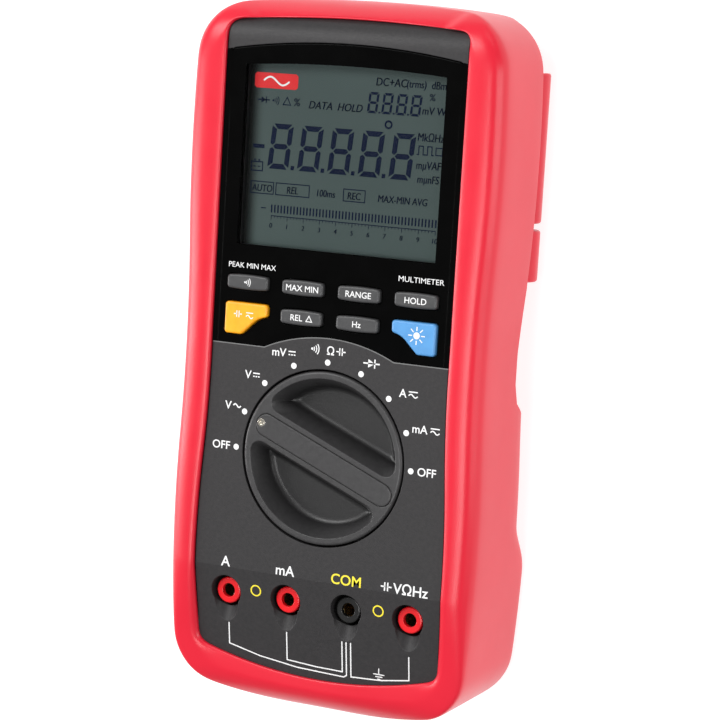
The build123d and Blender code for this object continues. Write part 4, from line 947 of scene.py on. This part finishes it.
# Painted highlight: a pale grey line where the lens meets the case
lens_edge_highlight = Print(at_height(FACE_Z + PRINT_LIFT))
arch = arc_through((-20.0, 2.9), (0, 7.4), (20.0, 2.9), 24)
lens_edge_highlight.stroke([(-36.4, 2.9)] + arch + [(36.4, 2.9)], 0.3)
lens_edge_highlight.place("lens_edge_highlight", "painted_edge_highlight", "meter", "case_plastic")

# ---- The display --------------------------------------------------------------------------

lcd = Print(at_height(LCD_Z + 0.04))


def digit(x, y, width, high, line, slant=0.09):
    """An eight made of seven separate segments."""
    half_w, half_h = width / 2, high / 2
    gap = line * 0.14
    k = line / 2

    def put(points):
        lcd.poly([(x + px + slant * py, y + py) for px, py in points])

    for level in (-1, 0, 1):
        mid = level * (half_h - k)
        reach = half_w - k - gap
        if level == 0:
            put([(-reach, 0), (-reach + k, k), (reach - k, k), (reach, 0), (reach - k, -k),
                 (-reach + k, -k)])
        else:
            outer, inner = mid + level * k, mid - level * k
            put([(-reach - k * 0.6, outer), (reach + k * 0.6, outer), (reach - k, inner),
                 (-reach + k, inner)])
    for side in (-1, 1):
        for level in (-1, 1):
            far = level * (half_h - k - gap)
            near = level * (gap + k * 0.1)
            edge = side * half_w
            inner = side * (half_w - line)
            put([(edge, near + level * k * 0.7), (edge, far + level * k * 0.5),
                 (inner, far - level * k * 0.8), (inner, near + level * k),
                 (side * (half_w - k), near)])


def lcd_x(x):
    return x - 0.62


def lcd_y(y):
    return y - 26.65


def lcd_text(words, x, y, high, shear=0.1, **more):
    """Display words, printed twice a little apart to thicken them."""
    for shift in (-0.06, 0.06):
        lcd.text(words, lcd_x(x) + shift, lcd_y(y), high, shear=shear, **more)


for place in range(5):
    digit(lcd_x(-19.3 + 9.35 * place), lcd_y(85.9), 6.6, 12.7, 1.5)
    if place < 4:
        lcd.poly([(lcd_x(-15.3 + 9.35 * place) + dx, lcd_y(79.7) + dy)
                  for dx, dy in ((-0.55, -0.1), (0.55, -0.1), (0.65, 1.1), (-0.45, 1.1))])
for place in range(4):
    digit(lcd_x(8.4 + 4.3 * place), lcd_y(100.0), 3.1, 5.8, 0.72)
    if place:
        lcd.disc(lcd_x(6.1 + 4.3 * place), lcd_y(97.4), 0.3)
lcd.stroke([(lcd_x(-27.9), lcd_y(85.6)), (lcd_x(-24.3), lcd_y(85.6))], 1.1)
lcd.arc(lcd_x(13.4), lcd_y(94.3), 0.95, 0, 360, 0.55)
lcd_text("DC+AC", 9.0, 105.9, 2.3, squeeze=0.86, at="LEFT")
lcd_text("(trms)", 18.2, 105.9, 2.1, squeeze=0.82, at="LEFT")
lcd_text("dBm", 29.9, 105.9, 2.2, squeeze=0.8, at="RIGHT")
diode_mark(lcd, lcd_x(-25.3), lcd_y(98.6), 0.95, 0.34)
sound_mark(lcd, lcd_x(-21.4), lcd_y(98.6), 0.85, 0.24)
lcd.stroke([(lcd_x(-19.2), lcd_y(97.6)), (lcd_x(-16.9), lcd_y(97.6)),
            (lcd_x(-18.0), lcd_y(99.7))], 0.28, closed=True)
lcd_text("%", -14.9, 98.6, 2.2)
lcd_text("DATA", -7.6, 98.2, 2.2, shear=0.25, squeeze=0.9)
lcd_text("HOLD", 1.5, 98.2, 2.2, shear=0.25, squeeze=0.9)
lcd_text("%", 26.0, 102.6, 2.0)
lcd_text("mV W", 26.8, 98.9, 2.2, squeeze=0.86)
lcd_text("MkΩHz", 26.3, 91.7, 2.3, squeeze=0.78)
lcd.stroke([(lcd_x(x), lcd_y(y)) for x, y in (
    (22.3, 86.9), (22.9, 86.9), (22.9, 89.2), (24.2, 89.2), (24.2, 86.9), (25.5, 86.9),
    (25.5, 89.2), (26.8, 89.2), (26.8, 86.9), (27.4, 86.9))], 0.32)
lcd.box(lcd_x(28.0), lcd_y(87.0), lcd_x(29.9), lcd_y(89.0), 0.3)
lcd_text("mμVAF", 26.1, 84.1, 2.3, squeeze=0.76)
lcd_text("mμnFS", 26.2, 80.3, 2.2, squeeze=0.78)
lcd.box(lcd_x(-28.1), lcd_y(78.7), lcd_x(-24.6), lcd_y(81.2), 0.34)
lcd.stroke([(lcd_x(-27.3), lcd_y(81.7)), (lcd_x(-26.7), lcd_y(81.7))], 0.5)
lcd.stroke([(lcd_x(-26.0), lcd_y(81.7)), (lcd_x(-25.4), lcd_y(81.7))], 0.5)
lcd.stroke([(lcd_x(-27.5), lcd_y(79.9)), (lcd_x(-26.7), lcd_y(79.9))], 0.28)
lcd.stroke([(lcd_x(-26.1), lcd_y(79.9)), (lcd_x(-25.3), lcd_y(79.9))], 0.28)
for words, x0, x1, framed in (("AUTO", -27.9, -20.8, True), ("REL", -20.0, -9.6, True),
                              ("100ms", -8.9, 0.2, False), ("REC", 1.0, 7.6, True),
                              ("MAX-MIN AVG", 8.4, 29.6, False)):
    lcd_text(words, (x0 + x1) / 2, 74.0, 2.05, squeeze=0.8)
    if framed:
        lcd.box(lcd_x(x0), lcd_y(72.4), lcd_x(x1), lcd_y(75.7), 0.28)
BAR_STEP = 50.3 / 50
for tick in range(51):
    x = lcd_x(-21.0 + tick * BAR_STEP)
    lcd.stroke([(x, lcd_y(67.3)), (x, lcd_y(69.5))], 0.46)
    if tick % 5 == 0:
        lcd.stroke([(x, lcd_y(66.4)), (x, lcd_y(65.2))], 0.22)
        lcd_text(str(tick // 5), -21.0 + tick * BAR_STEP, 63.7, 1.4)
    elif tick:
        lcd.stroke([(x, lcd_y(66.4)), (x, lcd_y(65.8))], 0.2)
lcd.stroke([(lcd_x(-21.1), lcd_y(66.4)), (lcd_x(29.4), lcd_y(66.4))], 0.24)
lcd.stroke([(lcd_x(-24.4), lcd_y(68.4)), (lcd_x(-22.8), lcd_y(68.4))], 0.3)
lcd.place("lcd_segments", "lcd_ink", "meter", "lcd_glass")

patch = Print(at_height(LCD_Z + 0.05))
patch.poly([(lcd_x(x), lcd_y(y)) for x, y in (
    (-27.8, 101.9), (-15.6, 101.9), (-14.9, 102.5), (-14.9, 105.6), (-15.6, 106.2),
    (-27.8, 106.2), (-28.4, 105.6), (-28.4, 102.5))])
patch.place("maker_patch", "patch_red", "meter", "lens")
patch_wave = Print(at_height(LCD_Z + 0.07))
patch_wave.stroke(wave(lcd_x(-21.6), lcd_y(104.0), 8.0, 2.2), 0.5)
patch_wave.place("maker_patch_wave", "print_white", "meter", "lens")

# ---- Studio -------------------------------------------------------------------------------

floor_mesh = bpy.data.meshes.new("floor")
floor_mesh.from_pydata([(-4, -4, 0), (4, -4, 0), (4, 4, 0), (-4, 4, 0)], [], [(0, 1, 2, 3)])
floor_material = surface("floor_paper", grey(0.42), grey(0.40), grain=8, rough=(0.8, 0.9),
                         bump=0.02, bump_grain=400)
floor_material.node_tree.nodes["Principled BSDF"].inputs["Emission Strength"].default_value = 0.80
floor_material.node_tree.nodes["Principled BSDF"].inputs["Emission Color"].default_value = (
    1, 1, 1, 1)
floor_mesh.materials.append(floor_material)
floor = bpy.data.objects.new("floor", floor_mesh)
floor.location = (0, 0, -0.0005)
bpy.context.scene.collection.objects.link(floor)

world = bpy.data.worlds.new("studio")
bpy.context.scene.world = world
world.use_nodes = True
world.node_tree.nodes["Background"].inputs["Color"].default_value = (1.0, 1.0, 1.0, 1.0)
world.node_tree.nodes["Background"].inputs["Strength"].default_value = 0.34
bpy.context.scene.view_settings.view_transform = "Standard"


def area_light(name, spot, target, size, watts):
    lamp = bpy.data.lights.new(name, "AREA")
    lamp.shape = "RECTANGLE"
    lamp.size, lamp.size_y = size
    lamp.energy = watts
    made = bpy.data.objects.new(name, lamp)
    made.location = spot
    made.rotation_euler = (Vector(target) - Vector(spot)).to_track_quat("-Z", "Y").to_euler()
    bpy.context.scene.collection.objects.link(made)


area_light("key_light", (-0.45, 0.55, 0.75), (0, 0, 0.03), (0.5, 0.5), 6.0)
area_light("front_light", (0.05, -0.15, 0.95), (0, 0, 0.03), (0.35, 0.35), 3.0)
area_light("side_light", (0.95, 0.05, 0.35), (0, 0, 0.02), (0.35, 0.9), 4.4)
area_light("top_light", (0.25, 0.95, 0.45), (0, 0.02, 0.02), (0.7, 0.25), 0.8)
area_light("left_light", (-0.9, -0.1, 0.45), (0, 0, 0.03), (0.25, 0.8), 5.2)

camera = bpy.data.cameras.new("camera")
camera.lens = 124.54
camera.sensor_width = 36.0
camera.clip_start = 0.05
view = bpy.data.objects.new("camera", camera)
RIGHT = Vector((0.9036, 0.0598, -0.4241))
UP = Vector((-0.1101, 0.9894, -0.0951))
BACK = Vector((0.4139, 0.1326, 0.9006))
view.matrix_world = Matrix.Translation((0.2950, 0.0939, 0.6615)) @ Matrix(
    (RIGHT, UP, BACK)).transposed().to_4x4()
bpy.context.scene.collection.objects.link(view)
bpy.context.scene.camera = view
